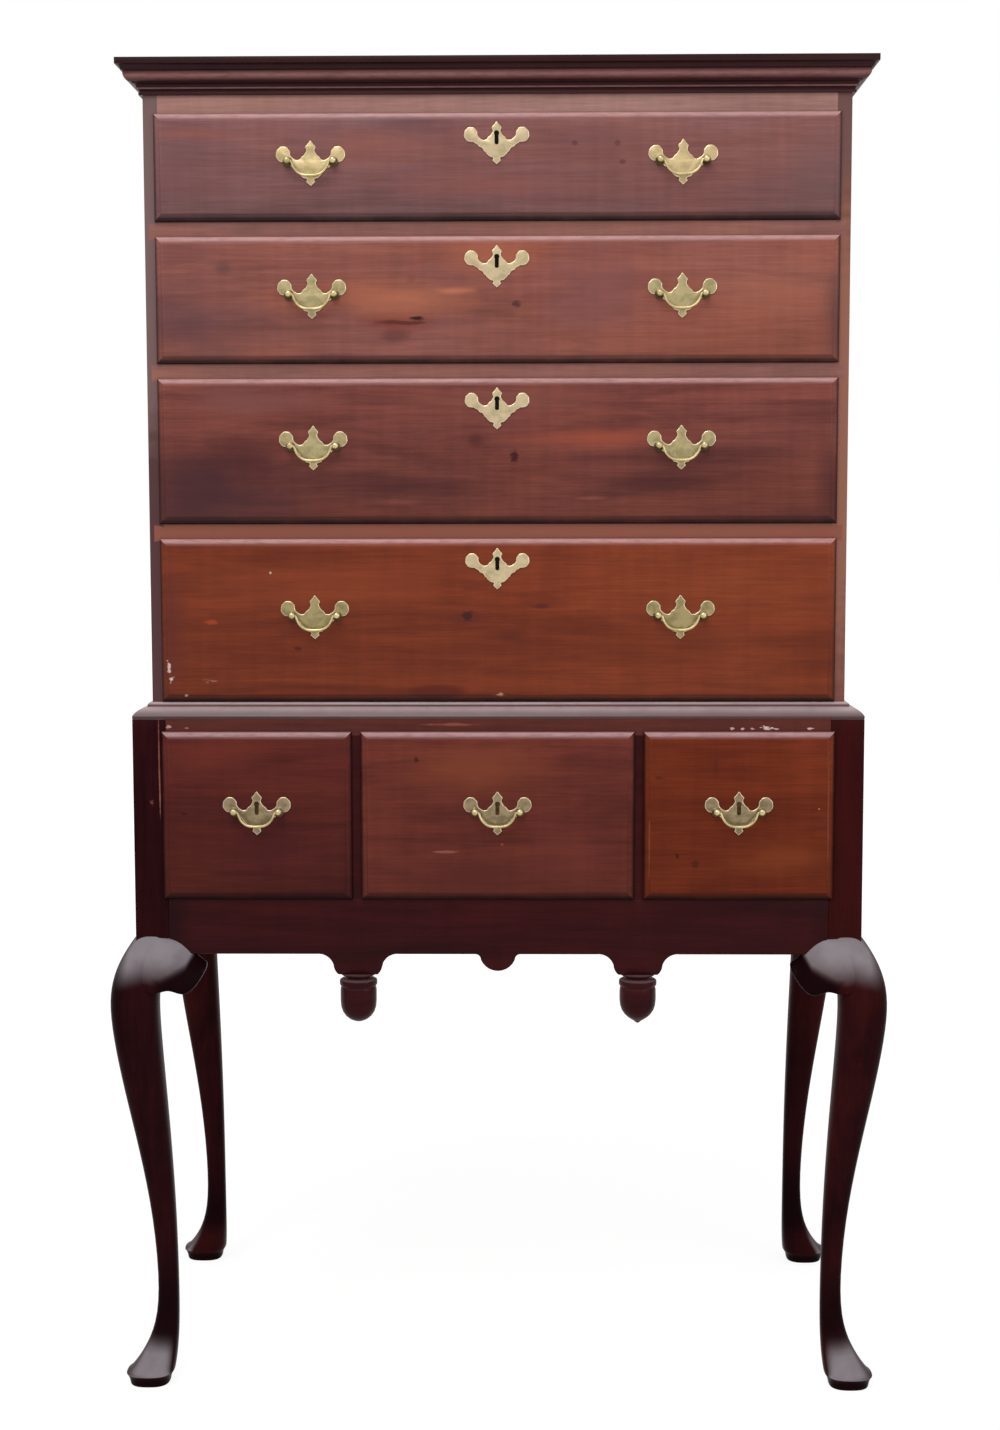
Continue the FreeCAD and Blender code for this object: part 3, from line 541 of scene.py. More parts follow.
def wood_finish(name, tones, seed, figure=0.7, patches=0.4, upright=False, specular=0.35, haze=0.25,
                haze_colour=(150, 128, 130), worn_colour=(170, 120, 112), spots=(), worn_edge=None,
                lighter=None, hazy=(0.12, 0.85, 0.0)):
    """A stained wood of a pale, a deep and a patch colour. upright turns the grain along Z. lighter is
    (low, high, amount) of a painted sheen that makes a board lighter towards its top. The last argument says
    how far a face looks up where the painted sky sheen begins and where it is full, and how strictly that
    sheen keeps to what also looks to the front."""
    material, shader, where = start_finish(name, specular)
    grain = where
    if upright:
        grain = add(where, "Mapping", {"Rotation": (0, math.radians(90), 0), "Vector": where}).outputs[0]
    pale, deep, patch = [colour(*tone) for tone in tones]
    wood = effect(stained_wood, vector=grain, pale=pale, deep=deep, patch=patch, figure=figure, patches=patches,
                  seed=seed)
    tone = wood["Color"]
    if lighter:
        low, high, amount = lighter
        tone = effect(fade, vector=where, color=tone, low=low, high=high, amount=amount)["Color"]
    for middle, reach, ragged, stain, amount, *core in spots:
        grit = 30 if core else 420 if max(reach[0], reach[2]) < 12 * MM else 90
        spot = effect(soft_spot, vector=where, place=middle, reach=reach, ragged=ragged, grit=grit,
                      core=core[0] if core else 0.45)
        tone = mixed(times(spot["Mask"], amount), tone, colour(*stain))
    start, full, front = hazy
    # The first painted mark is a painted highlight, and the second a darkening, painted shade on most pieces.
    edges = {mark: times(painted(where, mark), worn_edge) for mark in ("worn", "grime")} if worn_edge else {}
    cover = effect(haze_and_wear, vector=where, color=tone, bloom=colour(*haze_colour), amount=haze,
                   worn_color=colour(*worn_colour), start=start, full=full, front=front, **edges)
    rough = plus(wood["Roughness"], times(cover["Mask"], 0.1), clamp=True)
    feed(shader, {"Base Color": cover["Color"], "Roughness": rough,
                  "Normal": relief(wood["Height"], 0.4 * MM, 0.35)})
    return material


def brass_finish(name, bright, dull, seed):
    """Brass or iron of a bright and a dull colour."""
    material, shader, where = start_finish(name, 0.5, 0.9)
    brass = effect(old_brass, vector=where, bright=colour(*bright), dull=colour(*dull), seed=seed,
                   worn=painted(where, "worn"))
    feed(shader, {"Base Color": brass["Color"], "Roughness": brass["Roughness"],
                  "Normal": relief(brass["Height"], 0.08 * MM, 0.3)})
    return material


def spots(depth, reach, *rows):
    """Spots at one depth, with how far they reach before and behind it. A row, in millimetres, is (x, z, reach
    along x, along z, how ragged, colour, amount), and how much of it is core where that isn't usual."""
    return [((x * MM, depth * MM, z * MM), (wide * MM, reach * MM, tall * MM), *look)
            for x, z, wide, tall, *look in rows]


LEFT_SIDE_SPOTS = spots(
    -236, 4, (-455.5, 1550, 30, 420, 0.15, (112, 88, 87), 0.85), (-455.5, 1080, 30, 240, 0.15, (74, 40, 42), 0.95, 0.7))
RIGHT_SIDE_SPOTS = spots(
    -236, 4, (455.5, 1300, 30, 400, 0.15, (142, 92, 73), 0.9), (455.5, 1700, 30, 100, 0.15, (104, 70, 66), 0.8))
POST_SPOTS = spots(
    -260, 30, (-453.5, 862, 1.3, 70, 0.3, (140, 80, 70), 0.8), (-453, 815, 1.2, 40, 0.3, (150, 96, 84), 0.8),
    (-464, 806, 3, 4, 0.6, (120, 72, 66), 0.7))
POST_SPOTS += spots(-260, 50, (466, 800, 40, 180, 0.1, (62, 18, 17), 0.6, 0.0))
SKIRT_SPOTS = spots(
    -260, 50, (-444, 640, 35, 60, 0.1, (28, 7, 10), 0.85, 0.1), (444, 640, 30, 60, 0.1, (34, 8, 10), 0.6, 0.1))
RAIL_SPOTS = spots(
    -260, 30,
    (358, 906.6, 8.5, 2.6, 0.9, (214, 186, 180), 0.95), (372, 905.8, 4, 1.4, 0.8, (206, 170, 164), 0.9),
    (417, 906.4, 6, 1.8, 0.9, (210, 180, 172), 0.9), (340, 905.8, 3, 1.4, 0.8, (200, 160, 150), 0.9),
    (327, 906, 3, 1.6, 0.8, (206, 170, 160), 0.9), (313, 906.2, 3, 1.8, 0.8, (206, 170, 160), 0.9),
    (-70, 911.5, 50, 2.2, 0.7, (150, 78, 62), 0.6), (-440, 908.5, 4, 2, 0.7, (190, 160, 158), 0.8),
    (-415, 906.8, 3, 1.4, 0.7, (170, 130, 126), 0.8))
DIVIDER_SPOTS = spots(-240, 50, (0, 1166, 900, 30, 0.1, (132, 70, 50), 0.85, 0.6))

SIDE_TONES = ((108, 62, 54), (76, 40, 36), (118, 64, 48))
SIDE = dict(patches=0.5, upright=True, specular=0.3)
PINE = dict(figure=0.75, patches=0.35, specular=0.2, haze=0.1, haze_colour=(150, 140, 126))
# Pale, deep and patch colours, the seed and what else isn't usual.
WOODS = {
    "Divider Wood": (((138, 88, 80), (110, 66, 60), (144, 86, 66)), 3.1, dict(spots=DIVIDER_SPOTS)),
    "Frieze Wood": (((160, 118, 110), (128, 86, 80), (166, 114, 98)), 3.9, {}),
    "Left Side": (SIDE_TONES, 4.2, dict(SIDE, spots=LEFT_SIDE_SPOTS)),
    "Right Side": (SIDE_TONES, 6.2, dict(SIDE, spots=RIGHT_SIDE_SPOTS)),
    "Cornice Wood": (((64, 27, 30), (40, 15, 18), (76, 34, 34)), 1.7, dict(
        specular=0.12, haze=0.5, haze_colour=(96, 66, 68), worn_colour=(150, 104, 100), worn_edge=0.9)),
    "Waist Wood": (((92, 56, 56), (64, 34, 36), (106, 64, 60)), 2.2, dict(
        haze=0.95, haze_colour=(184, 163, 165), worn_edge=1.0)),
    "Base Wood": (((56, 15, 18), (36, 8, 11), (66, 20, 19)), 4.4, dict(
        patches=0.5, specular=0.06, haze=0.3, spots=SKIRT_SPOTS)),
    "Post Wood": (((42, 13, 16), (24, 7, 10), (66, 21, 20)), 6.3, dict(
        figure=0.8, patches=0.6, upright=True, specular=0.015, haze=0.76, haze_colour=(156, 149, 154),
        spots=POST_SPOTS, worn_edge=1.0, hazy=(0.16, 0.56, 0.85))),
    "Rail Wood": (((88, 37, 31), (62, 24, 22), (96, 42, 32)), 8.4, dict(
        patches=0.5, specular=0.14, spots=RAIL_SPOTS)),
    "Drawer Pine": (((176, 134, 90), (138, 98, 60), (150, 112, 74)), 2.7, PINE),
    "Back Pine": (((128, 90, 58), (92, 62, 40), (150, 112, 74)), 6.1, PINE),
}
# Bright and dull colours and the seed.
BRASSES = {
    "Lock Iron": ((92, 88, 84), (58, 52, 48), 4.0),
    "Bright Plate Brass": ((197, 174, 130), (162, 146, 104), 1.0),
    "Plate Brass": ((174, 158, 117), (140, 130, 92), 1.0),
    "Dull Plate Brass": ((160, 144, 102), (129, 118, 80), 1.0),
    "Dark Plate Brass": ((148, 130, 100), (118, 104, 78), 1.0),
    "Escutcheon Brass": ((200, 180, 144), (170, 156, 120), 3.0),
    "Bail Brass": ((206, 190, 140), (172, 156, 106), 2.0),
    # The dark brass of the posts' feet: dirt in the crevice round the foot, and below the knob a painted shadow.
    "Dirty Brass": ((70, 60, 34), (44, 37, 20), 7.0),
    "Keyhole": ((16, 12, 12), (10, 8, 8), 5.0),
    "Keyhole Dust": ((78, 56, 34), (52, 38, 24), 5.5),
}
# The same plate brass, painted lighter on the top drawer and darker on the lower drawers: painted light and shade.
PLATE_BRASS_BY_LIGHT = {"upper_drawer_1": "Bright Plate Brass", "upper_drawer_4": "Dull Plate Brass",
                 **dict.fromkeys(BASE, "Dark Plate Brass")}


@cache
def finish(name):
    """The named finish, made the first time it is asked for."""
    if name in BRASSES:
        return brass_finish(name, *BRASSES[name])
    tones, seed, unusual = WOODS[name]
    return wood_finish(name, tones, seed, **unusual)


# Pale, deep and patch colours of a front, the seed, how much lighter its top is painted as a sheen, and its spots.
FRONTS = {
    # The first two fronts' greyer tones hold a painted reflection of the sky as well as the boards' own colour.
    "upper_drawer_1": ((123, 86, 86), (98, 64, 65), (130, 78, 70), 11.0, 0.22, [
        (-111, 1702, 86.8, 17.4, 0.15, (98, 66, 72), 0.6, 0), (116, 1679, 100.1, 28, 0.25, (106, 68, 68), 0.5, 0),
        (-170, 1673, 100.1, 30.7, 0.25, (142, 84, 74), 0.6, 0), (-17, 1622, 146.8, 26.7, 0.25, (140, 80, 72), 0.5, 0),
        (-398, 1688, 80.1, 12, 0.2, (146, 84, 72), 0.6, 0), (-423, 1641, 60.1, 73.4, 0.2, (108, 74, 78), 0.5, 0),
        (428, 1646, 60.1, 73.4, 0.2, (110, 80, 80), 0.55, 0), (102, 1674, 4.4, 4, 0.3, (72, 42, 42), 0.55),
        (158, 1674, 5.9, 4.4, 0.3, (76, 44, 42), 0.5), (165, 1650, 5.4, 4.4, 0.3, (74, 42, 42), 0.55)]),
    "upper_drawer_2": ((136, 83, 75), (100, 58, 55), (150, 82, 60), 12.6, 0.18, [
        (-136, 1445, 66.8, 20, 0.3, (112, 46, 40), 0.6, 0), (-131, 1475, 133.5, 34.7, 0.25, (182, 108, 78), 0.65, 0),
        (-5, 1528, 73.4, 33.4, 0.25, (168, 96, 72), 0.55, 0), (364, 1487, 106.8, 60.1, 0.25, (162, 96, 74), 0.55, 0),
        (-408, 1442, 133.5, 66.8, 0.25, (92, 60, 64), 0.75, 0), (131, 1483, 113.5, 80.1, 0.25, (122, 76, 78), 0.55, 0),
        (447, 1449, 22.7, 86.8, 0.2, (84, 54, 56), 0.6, 0), (-136, 1426, 21.8, 10.9, 0.4, (92, 52, 50), 0.6, 0.1),
        (-10, 1458, 39.6, 3, 0.3, (110, 60, 52), 0.6, 0.1), (-57, 1484, 34.6, 5.9, 0.3, (196, 120, 88), 0.6, 0.1),
        (-360, 1515, 14.8, 12.9, 0.3, (96, 62, 64), 0.6, 0.1), (-113, 1499, 11.9, 9.9, 0.4, (118, 64, 58), 0.55, 0.1),
        (-107, 1449, 12.9, 4.4, 0.55, (38, 16, 16), 0.95), (-131, 1443, 34.6, 4, 0.5, (76, 34, 32), 0.75),
        (25, 1467, 6.9, 5.9, 0.4, (74, 44, 42), 0.85)]),
    "upper_drawer_3": ((116, 62, 54), (75, 36, 35), (124, 64, 50), 13.9, 0.5, [
        (-393, 1216, 173.5, 86.8, 0.25, (64, 36, 42), 0.8, 0), (-329, 1260, 86.8, 46.7, 0.3, (62, 28, 32), 0.6, 0),
        (119, 1292, 126.8, 17.4, 0.25, (158, 76, 54), 0.7, 0), (215, 1230, 133.5, 22.7, 0.3, (58, 26, 30), 0.55, 0),
        (-329, 1342, 140.2, 24, 0.25, (116, 72, 70), 0.6, 0), (444, 1230, 29.4, 73.4, 0.2, (66, 32, 36), 0.6, 0),
        (-101, 1230, 146.8, 20, 0.3, (66, 30, 34), 0.5, 0), (18, 1342, 220.3, 20, 0.25, (132, 78, 68), 0.5, 0),
        (-29, 1288, 12.9, 13.8, 0.4, (70, 28, 30), 0.6, 0.1), (-131, 1207, 54.4, 5.9, 0.3, (128, 70, 60), 0.6, 0.1),
        (124, 1212, 29.7, 4, 0.3, (140, 78, 62), 0.6, 0.1), (23, 1267, 6.4, 10.4, 0.4, (56, 22, 22), 0.9)]),
    "upper_drawer_4": ((122, 53, 30), (92, 37, 22), (136, 64, 36), 15.3, 0.2, [
        (-437, 1042, 26.7, 126.8, 0.2, (88, 40, 34), 0.6, 0), (-230, 1091, 200.3, 40, 0.25, (140, 66, 38), 0.5, 0),
        (265, 1027, 86.8, 26.7, 0.3, (100, 44, 30), 0.5, 0), (-42, 1054, 31.6, 13.8, 0.4, (92, 38, 32), 0.6, 0.1),
        (18, 1028, 30.7, 16.8, 0.35, (90, 36, 26), 0.75, 0.2), (-79, 954, 45.5, 11.9, 0.25, (80, 28, 20), 0.7, 0.5),
        (-40, 1056, 8.9, 7.9, 0.5, (58, 26, 24), 0.85), (57, 1069, 17.8, 4, 0.5, (76, 32, 34), 0.75),
        (-383, 1048, 10.9, 3.5, 0.4, (166, 66, 38), 0.7), (-267, 1012, 5.9, 3.5, 0.4, (74, 26, 22), 0.8),
        (-441, 986, 2.5, 9.9, 0.9, (208, 180, 172), 0.95), (-438, 970, 3.5, 4.4, 0.8, (226, 200, 190), 0.95),
        (-418, 949, 3, 1.5, 0.6, (220, 180, 160), 0.9), (-385, 969, 7.4, 2, 0.9, (176, 120, 96), 0.7),
        (-303, 1113, 2, 2, 0.5, (206, 180, 160), 0.9), (2, 950, 6.9, 2.5, 0.8, (200, 140, 110), 0.85)]),
    "base_drawer_left": ((84, 34, 29), (57, 21, 22), (92, 40, 30), 16.1, 0.5, [
        (-378, 867, 102.1, 39.6, 0.25, (108, 46, 38), 0.55, 0), (-316, 743, 144.2, 54.1, 0.25, (60, 22, 26), 0.5, 0),
        (-419, 792, 5.3, 2.2, 0.5, (44, 16, 18), 0.7)]),
    "base_drawer_centre": ((102, 47, 38), (75, 32, 29), (112, 54, 42), 17.7, 0.34, [
        (-29, 854, 150.2, 48.1, 0.25, (130, 66, 44), 0.6, 0), (-51, 707, 198.2, 36, 0.25, (72, 30, 30), 0.5, 0),
        (94, 743, 72.1, 60.1, 0.3, (110, 50, 44), 0.4, 0), (-108, 865, 3.6, 4.4, 0.4, (60, 26, 24), 0.8),
        (-73, 741, 17.8, 1.8, 0.5, (150, 92, 84), 0.6), (6, 751, 2.2, 2.2, 0.4, (168, 70, 58), 0.8)]),
    "base_drawer_right": ((107, 43, 23), (82, 30, 16), (122, 54, 30), 18.2, 0.22, [
        (384, 734, 84.1, 36, 0.25, (132, 64, 34), 0.5, 0), (291, 856, 5.3, 19.6, 0.4, (80, 32, 22), 0.5, 0.1),
        (240, 736, 3.6, 3.6, 0.4, (62, 22, 18), 0.85), (265, 725, 6.2, 7.1, 0.5, (70, 28, 20), 0.7),
        (216, 841, 7.1, 2.7, 0.5, (70, 28, 20), 0.6), (203, 748, 1.3, 57.8, 0.3, (150, 78, 50), 0.6),
        (441, 788, 1.3, 97.9, 0.3, (140, 72, 48), 0.6), (429, 799, 1.8, 1.3, 0.5, (196, 130, 90), 0.8)]),
}


def front_finish(name):
    """The stained wood of one drawer front."""
    *tones, seed, amount, rows = FRONTS[name]
    low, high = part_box(name + "_front")
    # The last colour is the painted highlight on the round of the top lip.
    depth, specular, worn = (-268, 0.06, (184, 148, 150)) if name in BASE else (-244, 0.12, (192, 148, 146))
    # The front is painted lighter towards its top, a painted sheen of the sky.
    return wood_finish("Front " + name.replace("_", " "), tones, seed, patches=0.55, specular=specular, haze=0.45,
                       haze_colour=(170, 128, 128), worn_colour=worn, spots=spots(depth, 50, *rows),
                       worn_edge=0.9, lighter=(low.z, high.z, amount))


# ---- drawers and their places
class DrawerPlace:
    """Where one drawer's lip, pulls and keyhole are, taken from its solids."""

    def __init__(self, name):
        low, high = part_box(name + "_front")
        self.name = name
        self.left, self.right = low.x, high.x
        self.low, self.top = low.z, high.z
        self.middle = (low.x + high.x) / 2
        self.lip_face = low.y
        self.lip_back = low.y + LIP_THICKNESS
        self.pull_height = (low.z + high.z) / 2 + PULL_RISE
        self.locked = name in UPPER
        self.pulls = [(self.middle, "")]
        if self.locked:
            self.pulls = [(self.middle - PULL_SPACING / 2, "left"), (self.middle + PULL_SPACING / 2, "right")]


DRAWERS = [DrawerPlace(name) for name in UPPER + BASE]


# ---- turned, drawn and swept shapes
def draw_out(stations):
    """Extrudes what is selected from station to station. A station is (centre, size along x, y, z)."""
    for (centre, size), (next_centre, next_size) in zip(stations, stations[1:]):
        push(Vector(next_centre) - Vector(centre))
        bpy.ops.transform.resize(value=[after / before for before, after in zip(size, next_size)],
                                 center_override=next_centre)


def lathe(points, centre, axis, steps=40):
    """Spins a traced profile round an axis. The profile starts and ends on the axis."""
    piece = trace(points)
    bpy.ops.mesh.select_all(action="SELECT")
    bpy.ops.mesh.spin(steps=steps, angle=2 * math.pi, center=centre, axis=axis)
    return close_up(piece)


def mitred_run(profile, foot):
    """A moulding round the upper case's front and sides: the profile is traced in the mitre and stretched
    both ways."""
    ring = [Vector((-UPPER_HALF - out, UPPER_FRONT - out, foot + up)) for out, up in profile]
    piece = trace(ring + [ring[0]])
    bpy.ops.mesh.select_all(action="SELECT")
    bpy.ops.mesh.remove_doubles(threshold=0.01 * MM)
    take("EDGE")
    push((0, 0, 0))
    bpy.ops.transform.resize(value=(-1, 1, 1), center_override=(0, 0, 0))
    for side in (-1, 1):
        pick(piece, "EDGE", lambda end: end.x * side > 0)
        push((0, 0, 0))
        bpy.ops.transform.resize(value=(1, 0, 1), center_override=(0, BASE_BACK, 0))
        pick(piece, "EDGE", lambda end: abs(end.y - BASE_BACK) < 1e-6 and end.x * side > 0)
        bpy.ops.mesh.edge_face_add()
    return close_up(piece)


# ---- legs
# Heights in millimetres, and how far the leg stands out of the post's corner and back in from it.
KNEE_TOP, KNEE, ANKLE, PAD = 624, 540, 115, 12
KNEE_IN, ANKLE_OUT, ANKLE_IN, PAD_OUT, PAD_IN = 30, -20, 46, 25.2, 41


def swell(share):
    """Smooth change from 1 to 0 as share goes from 0 to 1."""
    return (1 + math.cos(math.pi * share)) / 2


def knee_curve(share):
    """How the knee comes out of the post as share goes from 0 to 1."""
    return math.sin(math.pi / 2 * share) ** 0.85


def leg_stations(settings):
    """Sections of the front left leg from the top of the knee to the sole."""
    knee = settings.knee_projection / MM
    rows = [(KNEE_TOP + 6, -4.0, 42.0)]
    for share in (0.08, 0.3, 0.6, 1.0):
        rows.append((KNEE_TOP - (KNEE_TOP - KNEE) * share, knee * knee_curve(share), KNEE_IN + 12 * swell(share)))
    for share in (0.12, 0.3, 0.5, 0.74, 1.0):
        rows.append((KNEE - (KNEE - ANKLE) * share, ANKLE_OUT + (knee - ANKLE_OUT) * swell(share ** 0.85),
                     ANKLE_IN - (ANKLE_IN - KNEE_IN) * swell(share ** 0.7)))
    for share in (0.5, 0.8, 0.95):
        rows.append((ANKLE - (ANKLE - PAD) * share, ANKLE_OUT + (PAD_OUT - ANKLE_OUT) * share ** 2.3,
                     ANKLE_IN - (ANKLE_IN - PAD_IN) * share ** 4))
    rows += [(16.3, 24.1, 41.5), (15.2, 23.5, 41.0), (12.5, 21.4, 38.8), (7, 19.4, 36.8), (1.2, 18.6, 36.0),
             (0, 17.6, 35.0)]
    stations = []
    for height, outer, inner in rows:
        half = (outer + inner) / 2 * MM
        shift = (inner - outer) / 2 * MM
        stations.append((Vector((shift - HALF_WIDTH, BASE_FRONT + shift, height * MM)), (half, half, 1.0)))
    return stations


def leg_grime(x, y, z):
    """Painted shade on the outer side of the knee, on the shank above the foot and on the pad, which also keeps
    the painted sky sheen off them.
    """
    pad_top, shank_low, shank_top, knee_low = 16, 44, 190, 420
    if z > knee_low:
        return within((-HALF_WIDTH / MM - x) / 30 - 0.3, 0.92)
    return within(max(min((z - shank_low) / 26, (shank_top - z) / 80), (pad_top - z) / 2), 0.92)


def make_leg(settings):
    """Front left leg and post in one piece, as sawn and rasped from one blank."""
    stations = leg_stations(settings)
    centre, size = stations[0]
    rest()
    bpy.ops.mesh.primitive_plane_add(size=2, location=centre)
    leg = bpy.context.object
    leg.scale = size
    settle()
    edit(leg)
    bpy.ops.mesh.bevel(offset=size[0] * settings.knee_roundness, affect="VERTICES", segments=3, profile=0.5)
    take("FACE")
    draw_out(stations)
    for inset in (2, 6):
        bpy.ops.mesh.inset(thickness=inset * MM)
    rounded(close_up(leg))
    paint(leg, grime=leg_grime)
    post = block((-HALF_WIDTH, BASE_FRONT, SKIRT_EDGE), (-POST_INSIDE, BASE_FRONT + POST, BASE_TOP))
    ease(post, settings.edge_softness)
    return smooth(joined([leg, post]), 40)


# Places along the skirt, in millimetres, with the share of the knee's projection, the low edge and the top.
BRACKET_ROWS = [(-482, 0.86, 556, 624), (-475, 0.9, 552, 624), (-467, 0.925, 550, 624), (-459, 0.935, 550, 624),
                (-451, 0.925, 552, 624), (-444, 0.905, 554, 623.4), (-438, 0.875, 553, 622),
                (-432, 0.83, 550.5, 619.6), (-426, 0.77, 548, 616), (-419, 0.68, 548, 610.6),
                (-412.5, 0.56, 552, 604.4), (-407, 0.42, 558, 598), (-402, 0.28, 565.5, 592.6),
                (-398, 0.18, 573, 589), (-394, 0.13, 580, 587)]


def bracket_grime(x, y, z):
    """Painted shade on the scroll below and beyond the knee's round."""
    rim = max(566 + max(0.0, x + 453) * 0.55, 588 + (x + 418) * 1.8)
    return within(min((rim - z + 6) / 12, (x + 464) / 14))


def make_bracket(settings):
    """Rounded bracket that carries the front left knee on under the skirt."""
    rear = BASE_FRONT + BOARD - 1 * MM
    stations = []
    for along, share, low, top in BRACKET_ROWS:
        near = BASE_FRONT - settings.knee_projection * share
        centre = Vector((along * MM, (near + rear) / 2, (low + top) / 2 * MM))
        stations.append((centre, (1, (rear - near) / 2, (top - low) / 2 * MM)))
    centre, size = stations[0]
    steps, turn = 9, 0.856
    side = [(1, -1), (-0.72, -1), (-0.93, -0.94)]
    for step in range(steps, -1, -1):
        side.append((0.31 - 1.31 * knee_curve(turn * step / steps), 1 - 1.82 * step / steps))
    side.append((1, 1))
    piece = sheet([centre + Vector((0, y * size[1], z * size[2])) for y, z in side])
    draw_out(stations)
    rounded(close_up(piece))
    paint(piece, grime=bracket_grime)
    return smooth(piece, 50)


# ---- skirt and drops
def skirt_points():
    """Front outline of the skirt in millimetres."""
    inside, top, edge = POST_INSIDE / MM, SKIRT_TOP / MM, SKIRT_EDGE / MM
    points = [(-inside, top), (-inside, edge)]
    for middle in (-DROP_PLACE / MM, DROP_PLACE / MM):
        if middle > 0:
            points += [(-31, edge), (-23, edge - 7.5, 2.4), (23, edge - 7.5, -15.5), (31, edge, 2.4)]
        points += [(middle - 56, edge), (middle - 33, edge - 15, 5.0), (middle - 26.5, edge - 28, -1.5),
                   (middle + 26.5, edge - 28), (middle + 33, edge - 15, -1.5), (middle + 56, edge, 5.0)]
    return points + [(inside, edge), (inside, top)]


# Radius and height below the skirt, in millimetres: the collar, and the round and the pointed acorn.
COLLAR = [(0, 0), (22.5, 0), (22.8, -1.2), (18.6, -2.4), (17.2, -4.0), (17.4, -5.6), (22.4, -6.6), (25.0, -8.2),
          (25.6, -10.4), (25.4, -14.2), (24.2, -16.0), (23.4, -17.0), (24.0, -18.6), (24.5, -22), (24.6, -27)]
ROUND_ACORN = [(24.5, -37), (23.8, -45), (21.6, -52), (17.6, -58), (12.0, -62.6), (6.2, -65.2), (0, -66)]
POINTED_ACORN = [(24.6, -35), (23.8, -42.6), (21.6, -49.4), (17.8, -55.2), (13.0, -59.6), (8.4, -62.6),
                 (4.6, -65.0), (2.2, -67.2), (0, -68)]


def make_drop(middle, acorn):
    """Turned acorn hanging from its collar."""
    depth = BASE_FRONT + BOARD / 2
    points = [Vector((middle + radius * MM, depth, DROP_TOP + z * MM)) for radius, z in COLLAR + acorn]
    return smooth(lathe(points, (middle, depth, 0), (0, 0, 1)), 42)


# ---- mouldings
# (projection, height) in millimetres from the back of the moulding round its face, with the rise of arcs.
CORNICE = [(0, 0), (0, 44), (31, 44), (31, 35.6), (24.4, 30.6, -1.6), (24.4, 29.2), (21.6, 28.4),
           (13.6, 15.6, 3.4), (12.2, 15.6), (12.2, 14.2), (6.6, 9.4, -1.4), (7.4, 9.2), (7.4, 7.6), (6.4, 7.4),
           (3.2, 3.8, -0.9), (4.6, 3.4), (4.6, 0)]
WAIST = [(0, 0), (0, 21), (1.9, 21), (6.2, 16, 1.3), (6.2, 14.7), (24, 3.4, 2.6), (24, 0)]


def cornice_wear(x, y, z):
    """Painted highlights along the beads of the cornice."""
    small_bead, large_bead = 8.4, 21.8
    up = z - CORNICE_FOOT / MM
    return 0.7 if abs(up - small_bead) < 1.2 else within(1 - abs(up - large_bead) / 6)


def cornice_grime(x, y, z):
    """Painted shade in the hollows of the cornice and on its top fillet."""
    up = z - CORNICE_FOOT / MM
    hollow = 29 < up < 35.5 or 9.5 < up < 15.5 or 3.6 < up < 7.5
    return 0.62 if hollow else 0.7 if up > 35.5 else 0.0


def waist_grime(x, y, z):
    """Darker towards the foot of the waist moulding, with less of the painted sky sheen there."""
    return within((WAIST_TOP / MM - 8 - z) / 16, 0.42)


# ---- drawer fronts
def nearest_edge(drawer, place):
    """How far in millimetres a place is from the lip's nearest edge, and which edge that is."""
    inset, edge = min((drawer.top - place.z, "top"), (place.z - drawer.low, "low"),
                      (place.x - drawer.left, "side"), (drawer.right - place.x, "side"))
    return inset / MM, edge


def paint_wear(piece, drawer):
    """Paints a highlight on the round of the top lip with a thin painted shadow at its edge, painted shade on
    the bottom lip, and a thin painted shadow along the side lips.
    """
    mesh = piece.data
    worn, grime = marks(piece, "CORNER")
    for face in mesh.polygons:
        if face.center.y > drawer.lip_back - 0.1 * MM:
            continue
        edge = nearest_edge(drawer, face.center)[1]
        for loop in face.loop_indices:
            inset = nearest_edge(drawer, mesh.vertices[mesh.loops[loop].vertex_index].co)[0]
            if edge == "top":
                worn[loop].value = within(min(inset / 2.5, (9 - inset) / 4))
                grime[loop].value = max(0.0, 0.7 - inset / 2)
            elif edge == "low":
                grime[loop].value = within((11 - inset) / 7)
            else:
                grime[loop].value = within((4.5 - inset) / 3, 0.8)


def lip_profile(settings):
    """(distance in from the edge, distance forward) round the thumbnail moulding and its small step."""
    reach, edge, step = settings.lip_round, 0.8 * MM, 1.1 * MM
    rows = [(0, edge)]
    for index in range(1, 9):
        angle = math.pi / 2 * index / 8
        rows.append((reach * (1 - math.cos(angle)), edge + (LIP_THICKNESS - step - edge) * math.sin(angle)))
    return rows + [(reach + 0.1 * MM, LIP_THICKNESS - 0.3 * MM), (reach + 0.4 * MM, LIP_THICKNESS),
                   (reach + 3 * MM, LIP_THICKNESS)]


def make_front(drawer, settings):
    """Thumbnail-moulded lip with its raised field, on the dovetailed body."""
    middle = Vector((drawer.middle, drawer.lip_back, (drawer.low + drawer.top) / 2))
    half_width, half_height = (drawer.right - drawer.left) / 2, (drawer.top - drawer.low) / 2
    stations = [(middle - Vector((0, out, 0)), (half_width - inset, 1, half_height - inset))
                for inset, out in [(0, 0)] + lip_profile(settings)]
    lip = sheet([middle + Vector((x * half_width, 0, z * half_height))
                 for x, z in ((-1, -1), (-1, 1), (1, 1), (1, -1))])
    draw_out(stations)
    piece = joined([close_up(lip), case_copy(drawer.name + "_front", drawer.lip_back)])
    paint_wear(piece, drawer)
    return smooth(piece, 32)


